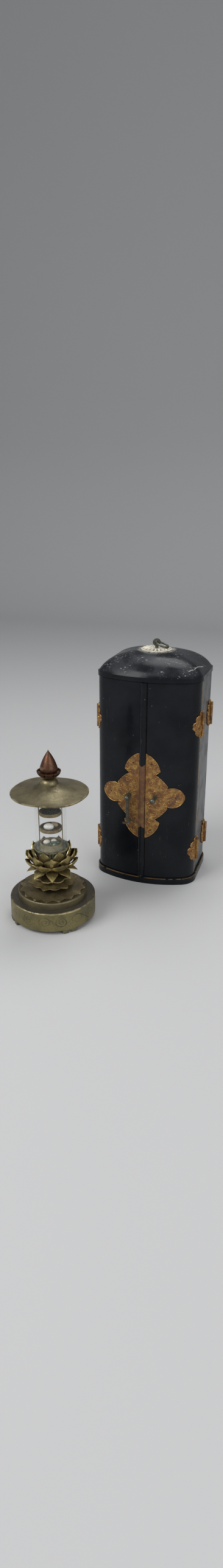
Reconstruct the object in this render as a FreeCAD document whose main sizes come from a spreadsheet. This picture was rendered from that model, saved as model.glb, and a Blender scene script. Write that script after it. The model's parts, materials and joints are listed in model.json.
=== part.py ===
import FreeCAD, Part
import Sketcher
import math
import os
import re

# A relic stand and the bow-front case it travels in, in millimetres.
# The origin is the centre of the case's underside, +Z is up and the case's doors face -Y.
# The stand is drawn about its own vertical axis and placed in front of the case, to the left.

driving = {
    # Where the stand stands
    "stand_x": 70, "stand_y": 138, "foot_turn": 45,
    # Drum, its plate and feet
    "foot_height": 4, "foot_width": 17, "foot_depth": 2.6, "foot_arch": 2.2,
    "drum_radius": 44, "drum_height": 20, "drum_wall": 1.6, "drum_edge": 1.6,
    "plate_recess": 3, "plate_thickness": 1.2, "seat_clearance": 0.1, "vent_radius": 2.4, "vent_offset": 31,
    "step_radius": 35.5, "step_height": 7, "step_wall": 1.5, "step_edge": 1.4,
    # Tie rod and spacers
    "rod_radius": 2.5, "rod_head_radius": 5, "rod_head_height": 2.5, "rod_clearance": 0.1,
    "nut_width": 9, "nut_height": 3, "spacer_radius": 7,
    "lower_spacer_waist": 5, "upper_spacer_waist": 5.2, "upper_spacer_height": 8.6,
    # Lotus sheets
    "sheet": 0.8, "skirt_rise": 3.2, "skirt_hub": 9, "skirt_radius": 34, "skirt_notch": 3.2,
    "skirt_tips": 16,
    "flare_hub": 8, "flare_radius": 25, "flare_fall": 6.8, "flare_sag": 2.6, "flare_notch": 4.2,
    "flare_lobe": 2.2, "flare_lobes": 6, "flare_height": 10.8,
    "bead_hub": 9, "bead_radius": 19.6, "bead_fall": 2, "bead_notch": 2.4, "bead_lobes": 8,
    # Where a petal is widest, narrows and draws in to its point, as shares of its rise and half width
    "petals": 8, "hub_lap": 0.3, "petal_belly": 0.56, "petal_side": 0.74, "petal_side_width": 0.8,
    "petal_neck": 0.86, "petal_neck_width": 0.42, "petal_point": 0.925, "petal_point_width": 0.16,
    "droop_hub": 10, "droop_reach": 26, "droop_fall": 7, "droop_crown": 1, "droop_width": 5.9,
    "droop_root": 2.4,
    "outer_hub": 15, "outer_reach": 28.5, "outer_rise": 12, "outer_belly": 2.2, "outer_width": 9.1,
    "outer_root": 2.9,
    "middle_hub": 14.2, "middle_reach": 23.6, "middle_rise": 17, "middle_belly": 4, "middle_width": 8,
    "middle_root": 2.4,
    "inner_hub": 13.5, "inner_reach": 20.4, "inner_rise": 22, "inner_belly": 2.6, "inner_width": 6.8,
    "inner_root": 2.4,
    # Seed pod and glass tube
    "pod_base": 13, "pod_rim": 18, "pod_height": 19, "pod_floor": 2, "pod_flutes": 32, "flute_radius": 1.1,
    "pod_lip": 1.6, "pod_bore": 13.4, "tube_radius": 16, "tube_wall": 1.6, "tube_length": 62,
    "tube_seat": 3,
    # Rack and relics inside the tube
    "rack_radius": 11.2, "rack_wall": 1, "rack_turn": 20, "cup_top": 21, "cup_dish": 2.6, "tray_band": 3.4,
    "lower_tray_height": 38.5, "upper_tray_height": 56, "strip_thickness": 0.8, "strip_breadth": 3.2,
    "strip_foot": 16, "collar_radius": 13.8, "collar_wall": 1.4, "collar_height": 3.5,
    # Canopy and finial
    "plug_thickness": 1.2, "plug_spigot": 10.6, "spigot_depth": 2, "spindle_radius": 2, "canopy_radius": 39,
    "canopy_brim_drop": 1.2, "canopy_sheet": 0.9, "canopy_crown": 9.4, "canopy_crown_rise": 7.6,
    "canopy_shoulder": 20.3, "canopy_shoulder_rise": 2.5, "rim_roll": 0.9,
    "cap_height": 5.6, "neck_radius": 3.4, "neck_height": 1, "cup_radius": 12, "cup_rise": 6.2,
    "cup_foot": 5,
    "cup_sheet": 1, "cup_holes": 8, "cup_hole_radius": 1.1, "jewel_radius": 8.6, "jewel_belly": 9,
    "jewel_height": 27, "jewel_tip": 1, "jewel_foot": 3.6, "spindle_tail": 3,
    # Case
    "case_width": 112, "case_depth": 98, "side_length": 46, "corner_radius": 18, "case_wall": 4.5,
    "base_height": 8, "base_ledge": 1.8, "base_bead": 1.2, "base_bead_ledge": 1, "floor_board": 3,
    "door_height": 224, "leaf_gap": 0.6, "roof_rim": 4.5, "roof_overhang": 1, "roof_rise": 20,
    "roof_top_share": 0.37, "strip_half": 3.6, "strip_proud": 2.4,
    # Lock
    "fitting": 0.7, "lock_height": 98, "lock_half_width": 45.5, "lock_level": 98, "post_offset": 14.5,
    "post_radius": 1.3, "post_base": 2.6, "post_collar": 0.8, "hook_standoff": 4.6, "hook_thickness": 2.2,
    "hook_eye": 3.1, "hook_bar": 1.5, "hook_slot": 1.7, "hook_tail": 4.6, "hook_clearance": 0.06,
    "head_gap": 0.3,
    "hook_head": 2.6, "catch_ball": 3.2, "hook_limb": 2,
    # Hinges
    "hinge_height": 30, "hinge_reach": 13, "knuckle_radius": 1.7, "knuckle_proud": 2, "pin_radius": 0.9,
    "pin_clearance": 0.05, "knuckle_gap": 0.3, "hinge_low_inset": 31, "hinge_top_inset": 47,
    "nail_radius": 1.5, "nail_reach": 8.6,
    # Roof ring
    "rosette_radius": 16.5, "rosette_thickness": 1.4, "rosette_slots": 20, "rosette_slot_inner": 7,
    "rosette_slot_width": 1.1, "rosette_slot_margin": 2.4,
    "eye_radius": 4, "eye_breadth": 3, "eye_stem": 1.8,
    "eye_rise": 6, "eye_hole": 1.7, "ring_radius": 6.6, "ring_wire": 1.1, "ring_rest_gap": 0.4,
}

doc = FreeCAD.newDocument("relic_stand")
sheet = doc.addObject("Spreadsheet::Sheet", "sizes")
for row, (alias, number) in enumerate(driving.items(), start=1):
    sheet.set("A%d" % row, alias)
    sheet.set("B%d" % row, str(number))
    sheet.setAlias("B%d" % row, alias)
doc.recompute()

parts = []
word = re.compile(r"[a-z_]+[a-z]")


def formula(text):
    # Sizes are written as bare names and become references to the sheet's cells
    return word.sub(lambda m: "sizes." + m.group() if m.group() in driving else m.group(), text)


def value(text):
    return float(sheet.evalExpression(formula(text)))


def bind(thing, prop, text):
    thing.setExpression(prop, formula(text))


def keep(thing, label):
    thing.Label = label
    parts.append(thing)
    return thing


def fix_point(sketch, geo, pos, x, y):
    # Ties one point of a sketch to its two formulas
    for kind, axis, text in (("DistanceX", -2, x), ("DistanceY", -1, y)):
        if text == "0":
            sketch.addConstraint(Sketcher.Constraint("PointOnObject", geo, pos, axis))
        else:
            index = sketch.addConstraint(Sketcher.Constraint(kind, geo, pos, value(text)))
            bind(sketch, "Constraints[%d]" % index, text)


def draw(sketch, path):
    # A closed path. Each step ends at (x, y); a step of four is an arc through its first two numbers
    spots = [FreeCAD.Vector(value(step[-2]), value(step[-1]), 0) for step in path]
    ends = []
    for number, step in enumerate(path):
        start, stop = spots[number - 1], spots[number]
        if len(step) == 2:
            geo = sketch.addGeometry(Part.LineSegment(start, stop))
            ends.append((geo, 1, 2))
            continue
        middle = FreeCAD.Vector(value(step[0]), value(step[1]), 0)
        anticlockwise = (middle - start).cross(stop - middle).z > 0
        first, last = (start, stop) if anticlockwise else (stop, start)
        geo = sketch.addGeometry(Part.Arc(first, middle, last))
        ends.append((geo, 1, 2) if anticlockwise else (geo, 2, 1))
        spot = sketch.addGeometry(Part.Point(middle), True)
        sketch.addConstraint(Sketcher.Constraint("PointOnObject", spot, 1, geo))
        fix_point(sketch, spot, 1, step[0], step[1])
    for number, step in enumerate(path):
        geo, last = ends[number][0], ends[number][2]
        after, first = ends[(number + 1) % len(ends)][:2]
        sketch.addConstraint(Sketcher.Constraint("Coincident", geo, last, after, first))
        fix_point(sketch, geo, last, step[-2], step[-1])


def draw_circle(sketch, x, y, radius):
    centre = FreeCAD.Vector(value(x), value(y), 0)
    geo = sketch.addGeometry(Part.Circle(centre, FreeCAD.Vector(0, 0, 1), value(radius)))
    fix_point(sketch, geo, 3, x, y)
    bind(sketch, "Constraints[%d]" % sketch.addConstraint(
        Sketcher.Constraint("Radius", geo, value(radius))), radius)


def new_body(label):
    return doc.addObject("PartDesign::Body", label)


def body_sketch(body, role, lift=None):
    sketch = body.newObject("Sketcher::SketchObject", body.Name + "_sketch")
    plane = next(item for item in body.Origin.OriginFeatures if item.Role == role)
    sketch.AttachmentSupport = [(plane, "")]
    sketch.MapMode = "FlatFace"
    if lift:
        bind(sketch, "AttachmentOffset.Base.z", lift)
    return sketch


def revolve(label, path):
    # A turned piece: a section in the XZ plane about the Z axis
    body = new_body(label)
    section = body_sketch(body, "XZ_Plane")
    draw(section, path)
    turned = body.newObject("PartDesign::Revolution", label + "_turned")
    turned.Profile = section
    turned.ReferenceAxis = (section, ["V_Axis"])
    return body


def pad(body, role, paths, length, lift=None):
    section = body_sketch(body, role, lift)
    for path in paths:
        if len(path) == 3 and isinstance(path[0], str):
            draw_circle(section, *path)
        else:
            draw(section, path)
    feature = body.newObject("PartDesign::Pad", body.Name + "_pad")
    feature.Profile = section
    bind(feature, "Length", length)
    return feature


def pocket(body, role, path, count=None):
    # A cut right through both ways, repeated around the Z axis
    section = body_sketch(body, role)
    if len(path) == 3 and isinstance(path[0], str):
        draw_circle(section, *path)
    else:
        draw(section, path)
    cut = body.newObject("PartDesign::Pocket", body.Name + "_cut")
    cut.Profile = section
    cut.Type = "ThroughAll"
    cut.SideType = "Symmetric"
    return pattern(body, cut, count) if count else cut


def pattern(body, feature, count):
    around = body.newObject("PartDesign::PolarPattern", body.Name + "_around")
    around.Originals = [feature]
    around.Axis = (next(item for item in body.Origin.OriginFeatures if item.Role == "Z_Axis"), [""])
    around.Angle = 360
    bind(around, "Occurrences", count)
    body.Tip = around
    return around


def on_stand(thing, label):
    bind(thing, "Placement.Base.x", "-stand_x")
    bind(thing, "Placement.Base.y", "-stand_y")
    return keep(thing, label)


def primitive(kind, name, sizes_of, base=("0", "0", "0"), turn=None):
    thing = doc.addObject(kind, name)
    for prop, text in sizes_of.items():
        bind(thing, prop, text)
    if turn:
        thing.Placement = FreeCAD.Placement(FreeCAD.Vector(), turn)
    for axis, text in zip("xyz", base):
        if text != "0":
            bind(thing, "Placement.Base." + axis, text)
    return thing


def boolean(kind, name, base, tool):
    thing = doc.addObject("Part::" + kind, name)
    thing.Base = base
    thing.Tool = tool
    return thing


def free_sketch(name, turn, path):
    sketch = doc.addObject("Sketcher::SketchObject", name)
    sketch.Placement = FreeCAD.Placement(FreeCAD.Vector(), turn)
    draw(sketch, path)
    return sketch


def extrude(name, section, direction, length, base=None):
    thing = doc.addObject("Part::Extrusion", name)
    thing.Base = section
    thing.DirMode = "Custom"
    thing.Dir = FreeCAD.Vector(*direction)
    thing.Solid = True
    bind(thing, "LengthFwd", length)
    for axis, text in zip("xyz", base or ()):
        if text != "0":
            bind(thing, "Placement.Base." + axis, text)
    return thing


flat = FreeCAD.Rotation()
facing_front = FreeCAD.Rotation(FreeCAD.Vector(1, 0, 0), 90)
facing_side = FreeCAD.Rotation(FreeCAD.Vector(1, 1, 1), 120)

# Heights of the stand's stack, from the ground up
rod_hole = "(rod_radius + rod_clearance)"
drum_top = "(foot_height + drum_height)"
step_top = "(%s + step_height)" % drum_top
skirt_hub_z = "(%s + skirt_rise)" % step_top
lower_spacer_z = "(%s + sheet)" % skirt_hub_z
flare_z = "(%s + flare_height)" % lower_spacer_z
bead_z = "(%s + sheet)" % flare_z
upper_spacer_z = "(%s + sheet)" % bead_z
droop_z = "(%s + upper_spacer_height)" % upper_spacer_z
outer_z = "(%s + sheet)" % droop_z
middle_z = "(%s + sheet)" % outer_z
inner_z = "(%s + sheet)" % middle_z
pod_z = "(%s + sheet)" % inner_z
pod_floor_z = "(%s + pod_floor)" % pod_z
pod_top = "(%s + pod_height)" % pod_z
tube_z = "(%s - tube_seat)" % pod_top
tube_top = "(%s + tube_length)" % tube_z
plug_top = "(%s + plug_thickness)" % tube_top
crown_z = "(%s + canopy_crown_rise)" % plug_top
crown_top = "(%s + canopy_sheet)" % crown_z
neck_z = "(%s + cap_height)" % crown_top
cup_z = "(%s + neck_height)" % neck_z
jewel_z = "(%s + cup_sheet)" % cup_z


def stand_drum():
    inside = "(drum_radius - drum_wall)"
    shell = revolve("drum", [
        (rod_hole, "%s - drum_wall" % drum_top),
        (inside, "%s - drum_wall" % drum_top),
        (inside, "foot_height"),
        ("drum_radius", "foot_height"),
        ("drum_radius", "%s - drum_edge" % drum_top),
        ("drum_radius - drum_edge * 0.293", "%s - drum_edge * 0.293" % drum_top,
         "drum_radius - drum_edge", drum_top),
        (rod_hole, drum_top)])
    on_stand(shell, "drum")
    plate = new_body("bottom_plate")
    pad(plate, "XY_Plane", [("0", "0", "drum_radius - drum_wall - seat_clearance")], "plate_thickness",
        "foot_height + plate_recess")
    pocket(plate, "XY_Plane", ("-vent_offset", "0", "vent_radius"))
    on_stand(plate, "bottom_plate")
    # Each foot is a bracket with an arched underside and two scrolled ends
    feet = new_body("feet")
    half = "(foot_width / 2)"
    foot = pad(feet, "XZ_Plane", [[
        ("-" + half, "foot_height"),
        ("-%s + foot_arch * 0.3" % half, "foot_height / 2", "-%s + foot_arch" % half, "0"),
        ("-foot_arch", "0"),
        ("0", "foot_arch", "foot_arch", "0"),
        (half + " - foot_arch", "0"),
        (half + " - foot_arch * 0.3", "foot_height / 2", half, "foot_height")]],
        "foot_depth", "drum_radius - drum_wall - foot_depth / 2")
    pattern(feet, foot, "4")
    feet.Placement.Rotation = FreeCAD.Rotation(FreeCAD.Vector(0, 0, 1), 0)
    bind(feet, "Placement.Rotation.Angle", "foot_turn")
    on_stand(feet, "feet")
    inner = "(step_radius - step_wall)"
    step = revolve("step", [
        (rod_hole, "%s - step_wall" % step_top),
        (inner, "%s - step_wall" % step_top),
        (inner, drum_top),
        ("step_radius", drum_top),
        ("step_radius", "%s - step_edge" % step_top),
        ("step_radius - step_edge * 0.293", "%s - step_edge * 0.293" % step_top,
         "step_radius - step_edge", step_top),
        (rod_hole, step_top)])
    on_stand(step, "step")


def tie_rod():
    under = "(%s - drum_wall)" % drum_top
    rod = revolve("tie_rod", [
        ("0", "%s - rod_head_height" % under),
        ("rod_head_radius", "%s - rod_head_height" % under),
        ("rod_head_radius", under),
        ("rod_radius", under),
        ("rod_radius", "%s + nut_height" % pod_floor_z),
        ("0", "%s + nut_height" % pod_floor_z)])
    on_stand(rod, "tie_rod")
    nut = primitive("Part::Prism", "nut_hex", {"Circumradius": "nut_width / 2", "Height": "nut_height"},
                    ("0", "0", pod_floor_z))
    hole = primitive("Part::Cylinder", "nut_bore", {"Radius": rod_hole, "Height": "nut_height"},
                     ("0", "0", pod_floor_z))
    on_stand(boolean("Cut", "rod_nut", nut, hole), "rod_nut")


def spacer(label, low, height, waist):
    # A turned distance piece with a hollow waist
    top = "(%s + %s)" % (low, height)
    piece = revolve(label, [
        (rod_hole, low), ("spacer_radius", low),
        (waist, "%s + %s / 2" % (low, height), "spacer_radius", top),
        (rod_hole, top)])
    on_stand(piece, label)


def notch(body, radius, depth, count):
    # A pointed notch between two tips, seen from above
    half = "(180 / %s)" % count
    root = "(%s - %s)" % (radius, depth)
    reach = "(%s + 1.6 * (%s * cos(%s) - %s))" % (root, radius, half, root)
    wide = "(1.6 * %s * sin(%s))" % (radius, half)
    pocket(body, "XY_Plane", [(root, "0"), (reach, wide), (reach, "-" + wide)], count)


def lotus_sheets():
    skirt = revolve("lotus_skirt", [
        (rod_hole, skirt_hub_z),
        ("skirt_hub", skirt_hub_z),
        ("(skirt_hub + skirt_radius) / 2", "%s + skirt_rise * 0.56" % step_top, "skirt_radius", step_top),
        ("skirt_radius", "%s + sheet" % step_top),
        ("(skirt_hub + skirt_radius) / 2", "%s + skirt_rise * 0.56 + sheet" % step_top,
         "skirt_hub", "%s + sheet" % skirt_hub_z),
        (rod_hole, "%s + sheet" % skirt_hub_z)])
    notch(skirt, "skirt_radius", "skirt_notch", "skirt_tips")
    on_stand(skirt, "lotus_skirt")
    edge_z = "(%s - flare_fall)" % flare_z
    sag_z = "(%s - flare_fall / 2 - flare_sag)" % flare_z
    flare = revolve("lotus_flare", [
        (rod_hole, flare_z),
        ("flare_hub", flare_z),
        ("(flare_hub + flare_radius) / 2", sag_z, "flare_radius", edge_z),
        ("flare_radius", "%s + sheet" % edge_z),
        ("(flare_hub + flare_radius) / 2", "%s + sheet" % sag_z, "flare_hub", "%s + sheet" % flare_z),
        (rod_hole, "%s + sheet" % flare_z)])
    # Rounded lobes stand between the pointed ones: two notches meet at each rounded lobe
    half = "(180 / flare_lobes)"
    tip_x = "(flare_radius * cos(%s))" % half
    tip_y = "(flare_radius * sin(%s))" % half
    root_x = "((flare_radius - flare_notch) * cos(%s / 2))" % half
    root_y = "((flare_radius - flare_notch) * sin(%s / 2))" % half
    crest = "(flare_radius - flare_lobe)"
    beyond = "(flare_radius * 1.3)"
    lobe = [(crest, "0", root_x, root_y), (tip_x, tip_y), (beyond, tip_y), (beyond, "-" + tip_y),
            (tip_x, "-" + tip_y), (root_x, "-" + root_y)]
    pocket(flare, "XY_Plane", lobe, "flare_lobes")
    on_stand(flare, "lotus_flare")
    bead = revolve("bead_plate", [
        (rod_hole, bead_z), ("bead_hub", bead_z), ("bead_radius", "%s - bead_fall" % bead_z),
        ("bead_radius", "%s - bead_fall + sheet" % bead_z), ("bead_hub", "%s + sheet" % bead_z),
        (rod_hole, "%s + sheet" % bead_z)])
    half_lobe = "(180 / bead_lobes)"
    notch_x = "((bead_radius - bead_notch) * cos(%s))" % half_lobe
    notch_y = "((bead_radius - bead_notch) * sin(%s))" % half_lobe
    out_x = "(1.3 * bead_radius * cos(%s))" % half_lobe
    out_y = "(1.3 * bead_radius * sin(%s))" % half_lobe
    pocket(bead, "XY_Plane", [("bead_radius", "0", notch_x, notch_y), (out_x, out_y),
                              (out_x, "-" + out_y), (notch_x, "-" + notch_y)], "bead_lobes")
    on_stand(bead, "bead_plate")


def ring_of(label, petal, hub, count, turn):
    # The petals of one sheet are joined by its hub: copies of the petal around the stand's axis
    step_angle = 360 / count
    axis = FreeCAD.Vector(0, 0, 1)
    around = [petal.Shape.rotated(FreeCAD.Vector(), axis, turn + step_angle * k) for k in range(count)]
    flower = doc.addObject("Part::Feature", label)
    flower.Shape = hub.Shape.multiFuse(around).removeSplitter()
    on_stand(flower, label)


def petal_sheet(label, low, key, turn, cupped):
    # One sheet of upright petals: a thin bowl trimmed to a pointed outline, cupped about its own axis
    hub, reach, rise = key + "_hub", key + "_reach", "(%s_rise)" % key
    axis_x = hub if cupped else "0"
    start = "0.4" if cupped else hub
    out = "(%s - %s)" % (reach, axis_x)
    mid_r = "(%s + (%s - %s) * 0.62 + %s_belly * 0.3)" % (start, out, start, key)
    mid_z = "(%s + %s * 0.5 - %s_belly)" % (low, rise, key)
    tip_z = "(%s + %s)" % (low, rise)
    section = free_sketch(label + "_section", facing_front, [
        ("0", low), (start, low), (mid_r, mid_z, out, tip_z), ("%s - sheet" % out, tip_z),
        ("%s - sheet * 0.8" % mid_r, "%s + sheet * 0.6" % mid_z, start, "%s + sheet" % low),
        ("0", "%s + sheet" % low)])
    bowl = doc.addObject("Part::Revolution", label + "_bowl")
    bowl.Source = section
    bowl.Axis = FreeCAD.Vector(0, 0, 1)
    bowl.Angle = 360
    bowl.Solid = True
    bind(bowl, "Placement.Base.x", axis_x)
    root, wide = key + "_root", key + "_width"
    below = "(%s - sheet)" % low

    def spot(sign, place):
        return "%s%s * %s_width" % (sign, wide, place), "%s + %s * %s" % (low, rise, place)

    belly_z = "%s + %s * petal_belly" % (low, rise)
    outline = free_sketch(label + "_outline", facing_side, [
        (root, below), (root, "%s + sheet" % low), (wide, belly_z),
        spot("", "petal_side") + spot("", "petal_neck"), spot("", "petal_point") + ("0", tip_z),
        spot("-", "petal_point") + spot("-", "petal_neck"), spot("-", "petal_side") + ("-" + wide, belly_z),
        ("-" + root, "%s + sheet" % low), ("-" + root, below)])
    block = extrude(label + "_block", outline, (1, 0, 0), "%s - %s + 4 * sheet" % (reach, hub),
                    ("%s - hub_lap" % hub, "0", "0"))
    petal = boolean("Common", label + "_petal", bowl, block)
    hub_disc = hub_plate(label, low, hub)
    doc.recompute()
    ring_of(label, petal, hub_disc, int(value("petals")), turn)


def hub_plate(label, low, radius):
    disc = primitive("Part::Cylinder", label + "_disc", {"Radius": radius + " + hub_lap",
                                                              "Height": "sheet"}, ("0", "0", low))
    hole = primitive("Part::Cylinder", label + "_hole", {"Radius": rod_hole, "Height": "sheet"},
                     ("0", "0", low))
    return boolean("Cut", label + "_hub", disc, hole)


def drooping_sheet():
    out = "(droop_reach - droop_hub)"
    mid_z = "(%s - droop_fall / 2 + droop_crown)" % droop_z
    tip_z = "(%s - droop_fall)" % droop_z
    section = free_sketch("droop_section", facing_front, [
        ("0", droop_z), ("0.4", droop_z), (out + " * 0.62", mid_z, out, tip_z),
        (out, "%s + sheet" % tip_z),
        (out + " * 0.62", "%s + sheet" % mid_z, "0.4", "%s + sheet" % droop_z),
        ("0", "%s + sheet" % droop_z)])
    dome = doc.addObject("Part::Revolution", "droop_dome")
    dome.Source = section
    dome.Axis = FreeCAD.Vector(0, 0, 1)
    dome.Angle = 360
    dome.Solid = True
    bind(dome, "Placement.Base.x", "droop_hub")
    belly_x = "(droop_hub + %s * 0.48)" % out
    side_x = "(droop_hub + %s * 0.78)" % out
    outline = free_sketch("droop_outline", flat, [
        ("droop_hub - hub_lap", "droop_root"), ("droop_hub - hub_lap", "-droop_root"),
        ("droop_hub + sheet", "-droop_root"),
        ("droop_hub + %s * 0.25" % out, "-droop_width * 0.86", belly_x, "-droop_width"),
        (side_x, "-droop_width * 0.52", "droop_reach", "0"),
        (side_x, "droop_width * 0.52", belly_x, "droop_width"),
        ("droop_hub + %s * 0.25" % out, "droop_width * 0.86", "droop_hub + sheet", "droop_root")])
    block = extrude("droop_block", outline, (0, 0, 1), "droop_fall + 4 * sheet",
                    ("0", "0", "%s - droop_fall - sheet" % droop_z))
    petal = boolean("Common", "droop_petal", dome, block)
    hub_disc = hub_plate("droop", droop_z, "droop_hub")
    doc.recompute()
    ring_of("drooping_petals", petal, hub_disc, int(value("petals")), 360 / value("petals") / 2)


def pod_and_tube():
    lip = "(%s - pod_lip)" % pod_top
    pod = revolve("seed_pod", [
        (rod_hole, pod_z), ("pod_base", pod_z),
        ("(pod_base + pod_rim) / 2 + 0.8", "%s + pod_height * 0.4" % pod_z, "pod_rim - 0.3", lip),
        ("pod_rim", lip), ("pod_rim", pod_top),
        ("tube_radius + seat_clearance", pod_top), ("tube_radius + seat_clearance", tube_z),
        ("pod_bore", tube_z), ("rack_radius + seat_clearance", pod_floor_z),
        (rod_hole, pod_floor_z)])
    # Upright flutes on the outside, leaning with the wall
    flute = pod.newObject("PartDesign::SubtractiveCylinder", "pod_flute")
    bind(flute, "Radius", "flute_radius")
    bind(flute, "Height", "pod_height * 2")
    lean = math.degrees(math.atan2(value("pod_rim - pod_base") * 0.55, value("pod_height")))
    flute.Placement.Rotation = FreeCAD.Rotation(FreeCAD.Vector(0, 1, 0), lean)
    bind(flute, "Placement.Base.x", "pod_base + flute_radius * 0.62 - pod_rim * 0.06")
    bind(flute, "Placement.Base.z", pod_z)
    pattern(pod, flute, "pod_flutes")
    on_stand(pod, "seed_pod")
    inside = "(tube_radius - tube_wall)"
    tube = revolve("glass_tube", [(inside, tube_z), ("tube_radius", tube_z), ("tube_radius", tube_top),
                                  (inside, tube_top)])
    on_stand(tube, "glass_tube")


def turned_by_rack(thing, label):
    thing.Placement.Rotation = FreeCAD.Rotation(FreeCAD.Vector(0, 0, 1), 1)
    bind(thing, "Placement.Rotation.Angle", "rack_turn")
    return on_stand(thing, label)


def tray(label, low):
    # A shallow pan: a band with a floor a little below its rim
    inside = "(rack_radius - rack_wall)"
    top = "(%s + tray_band)" % low
    pan = revolve(label, [
        ("0", low), ("rack_radius", low), ("rack_radius", top), (inside, top),
        (inside, "%s + rack_wall" % low), ("0", "%s + rack_wall" % low)])
    on_stand(pan, label)


lower_tray_z = "(%s + lower_tray_height - tray_band)" % pod_floor_z
upper_tray_z = "(%s + upper_tray_height - tray_band)" % pod_floor_z
cup_floor_z = "(%s + cup_top - cup_dish)" % pod_floor_z


def relic_rack():
    inside = "(rack_radius - rack_wall)"
    cup_rim = "(%s + cup_top)" % pod_floor_z
    cup = revolve("relic_cup", [
        ("0", cup_floor_z + " - rack_wall"), (inside, cup_floor_z + " - rack_wall"),
        (inside, pod_floor_z), ("rack_radius", pod_floor_z), ("rack_radius", cup_rim), (inside, cup_rim),
        (inside, cup_floor_z), ("0", cup_floor_z)])
    on_stand(cup, "relic_cup")
    tray("lower_tray", lower_tray_z)
    tray("upper_tray", upper_tray_z)
    # Two flat uprights on opposite sides run from the cup to the collar
    foot_z = "(%s + strip_foot)" % pod_floor_z
    uprights = new_body("uprights")
    half = "(strip_breadth / 2)"
    upright = pad(uprights, "XY_Plane", [[
        ("rack_radius", half), ("rack_radius", "-" + half),
        ("rack_radius + strip_thickness", "-" + half), ("rack_radius + strip_thickness", half)]],
        "%s - %s" % (tube_top, foot_z), foot_z)
    pattern(uprights, upright, "2")
    turned_by_rack(uprights, "uprights")
    collar = revolve("collar", [
        ("collar_radius - collar_wall", "%s - collar_height" % tube_top),
        ("collar_radius", "%s - collar_height" % tube_top), ("collar_radius", tube_top),
        ("collar_radius - collar_wall", tube_top)])
    on_stand(collar, "collar")


def stone(name, half_length, half_breadth, half_height, x, y, floor, turn):
    return primitive("Part::Ellipsoid", name, {
        "Radius1": str(half_height), "Radius2": str(half_length), "Radius3": str(half_breadth)},
        (str(x), str(y), "%s + %s" % (floor, half_height)),
        FreeCAD.Rotation(FreeCAD.Vector(0, 0, 1), turn))


def relics():
    lower_floor = "(%s + rack_wall)" % lower_tray_z
    stones = [
        stone("white_stone", 5.2, 3.9, 3.4, -0.8, -3.2, lower_floor, 15),
        stone("brown_stone", 4.2, 3, 2.7, 2.4, 4.6, lower_floor, -20),
        stone("beige_stone", 3.6, 2.8, 2.5, -4.6, -1.2, cup_floor_z, 40),
        stone("pale_stone", 3, 2.6, 2.3, 1.4, 3.4, cup_floor_z, 10),
        stone("small_stone", 2, 1.7, 1.5, 4.6, -3.2, cup_floor_z, 70)]
    group = doc.addObject("Part::Compound", "stones")
    group.Links = stones
    on_stand(group, "stones")


def canopy_and_finial():
    plug = revolve("canopy_plug", [
        ("0", "%s - spigot_depth" % tube_top), ("plug_spigot", "%s - spigot_depth" % tube_top),
        ("plug_spigot", tube_top), ("tube_radius", tube_top), ("tube_radius", plug_top),
        ("spindle_radius", plug_top), ("spindle_radius", "%s + spindle_tail" % jewel_z),
        ("0", "%s + spindle_tail" % jewel_z)])
    on_stand(plug, "canopy_plug")
    hole = "(spindle_radius + rod_clearance)"
    brim_z = "(%s - canopy_brim_drop)" % plug_top
    shoulder_z = "(%s + canopy_shoulder_rise)" % plug_top
    canopy = revolve("canopy", [
        (hole, crown_z), ("canopy_crown", crown_z),
        ("canopy_shoulder", shoulder_z, "canopy_radius - rim_roll", brim_z),
        ("canopy_radius - rim_roll / 2", "%s - rim_roll * 0.7" % brim_z, "canopy_radius", brim_z),
        ("canopy_radius", "%s + canopy_sheet" % brim_z),
        ("canopy_shoulder", "%s + canopy_sheet" % shoulder_z, "canopy_crown", crown_top),
        (hole, crown_top)])
    on_stand(canopy, "canopy")
    cap = revolve("cap", [
        (hole, crown_top), ("canopy_crown - 0.3", crown_top),
        ("canopy_crown * 0.8", "%s + cap_height * 0.66" % crown_top, "neck_radius", neck_z),
        ("neck_radius", cup_z), (hole, cup_z)])
    on_stand(cap, "cap")
    edge_z = "(%s + cup_rise)" % cup_z
    bowl_x = "(cup_radius * 0.82)"
    bowl_z = "(%s + cup_rise * 0.34)" % cup_z
    cup = revolve("finial_cup", [
        (hole, cup_z), ("cup_foot", cup_z), (bowl_x, bowl_z, "cup_radius", edge_z),
        ("cup_radius - cup_sheet", edge_z),
        (bowl_x + " - cup_sheet * 0.8", bowl_z + " + cup_sheet * 0.6", "cup_foot", jewel_z),
        (hole, jewel_z)])
    hole_z = "(%s + cup_rise * 0.62)" % cup_z
    pocket_holes(cup, hole_z)
    on_stand(cup, "finial_cup")
    waist = "(%s + jewel_belly)" % jewel_z
    jewel = revolve("jewel", [
        (hole, jewel_z), ("jewel_foot", jewel_z),
        ("jewel_radius * 0.88", "%s + jewel_belly * 0.4" % jewel_z, "jewel_radius", waist),
        ("jewel_radius * 0.62", "%s + (jewel_height - jewel_belly) * 0.48" % waist,
         "jewel_tip", "%s + jewel_height - 2 * jewel_tip" % jewel_z),
        ("0", "%s + jewel_height" % jewel_z),
        ("0", "%s + spindle_tail + rod_clearance" % jewel_z),
        (hole, "%s + spindle_tail + rod_clearance" % jewel_z)])
    on_stand(jewel, "jewel")


def pocket_holes(cup, hole_z):
    # Drop-shaped piercings in the wall of the cup, point upwards
    section = body_sketch(cup, "YZ_Plane")
    radius = "cup_hole_radius"
    draw(section, [
        ("0", "%s + 2.2 * %s" % (hole_z, radius)), (radius, hole_z),
        ("0", "%s - %s" % (hole_z, radius), "-" + radius, hole_z)])
    cut = cup.newObject("PartDesign::Pocket", "finial_cup_hole")
    cut.Profile = section
    cut.Type = "Length"
    bind(cut, "Length", "cup_radius * 1.2")
    cut.Reversed = True
    pattern(cup, cut, "cup_holes")


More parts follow.
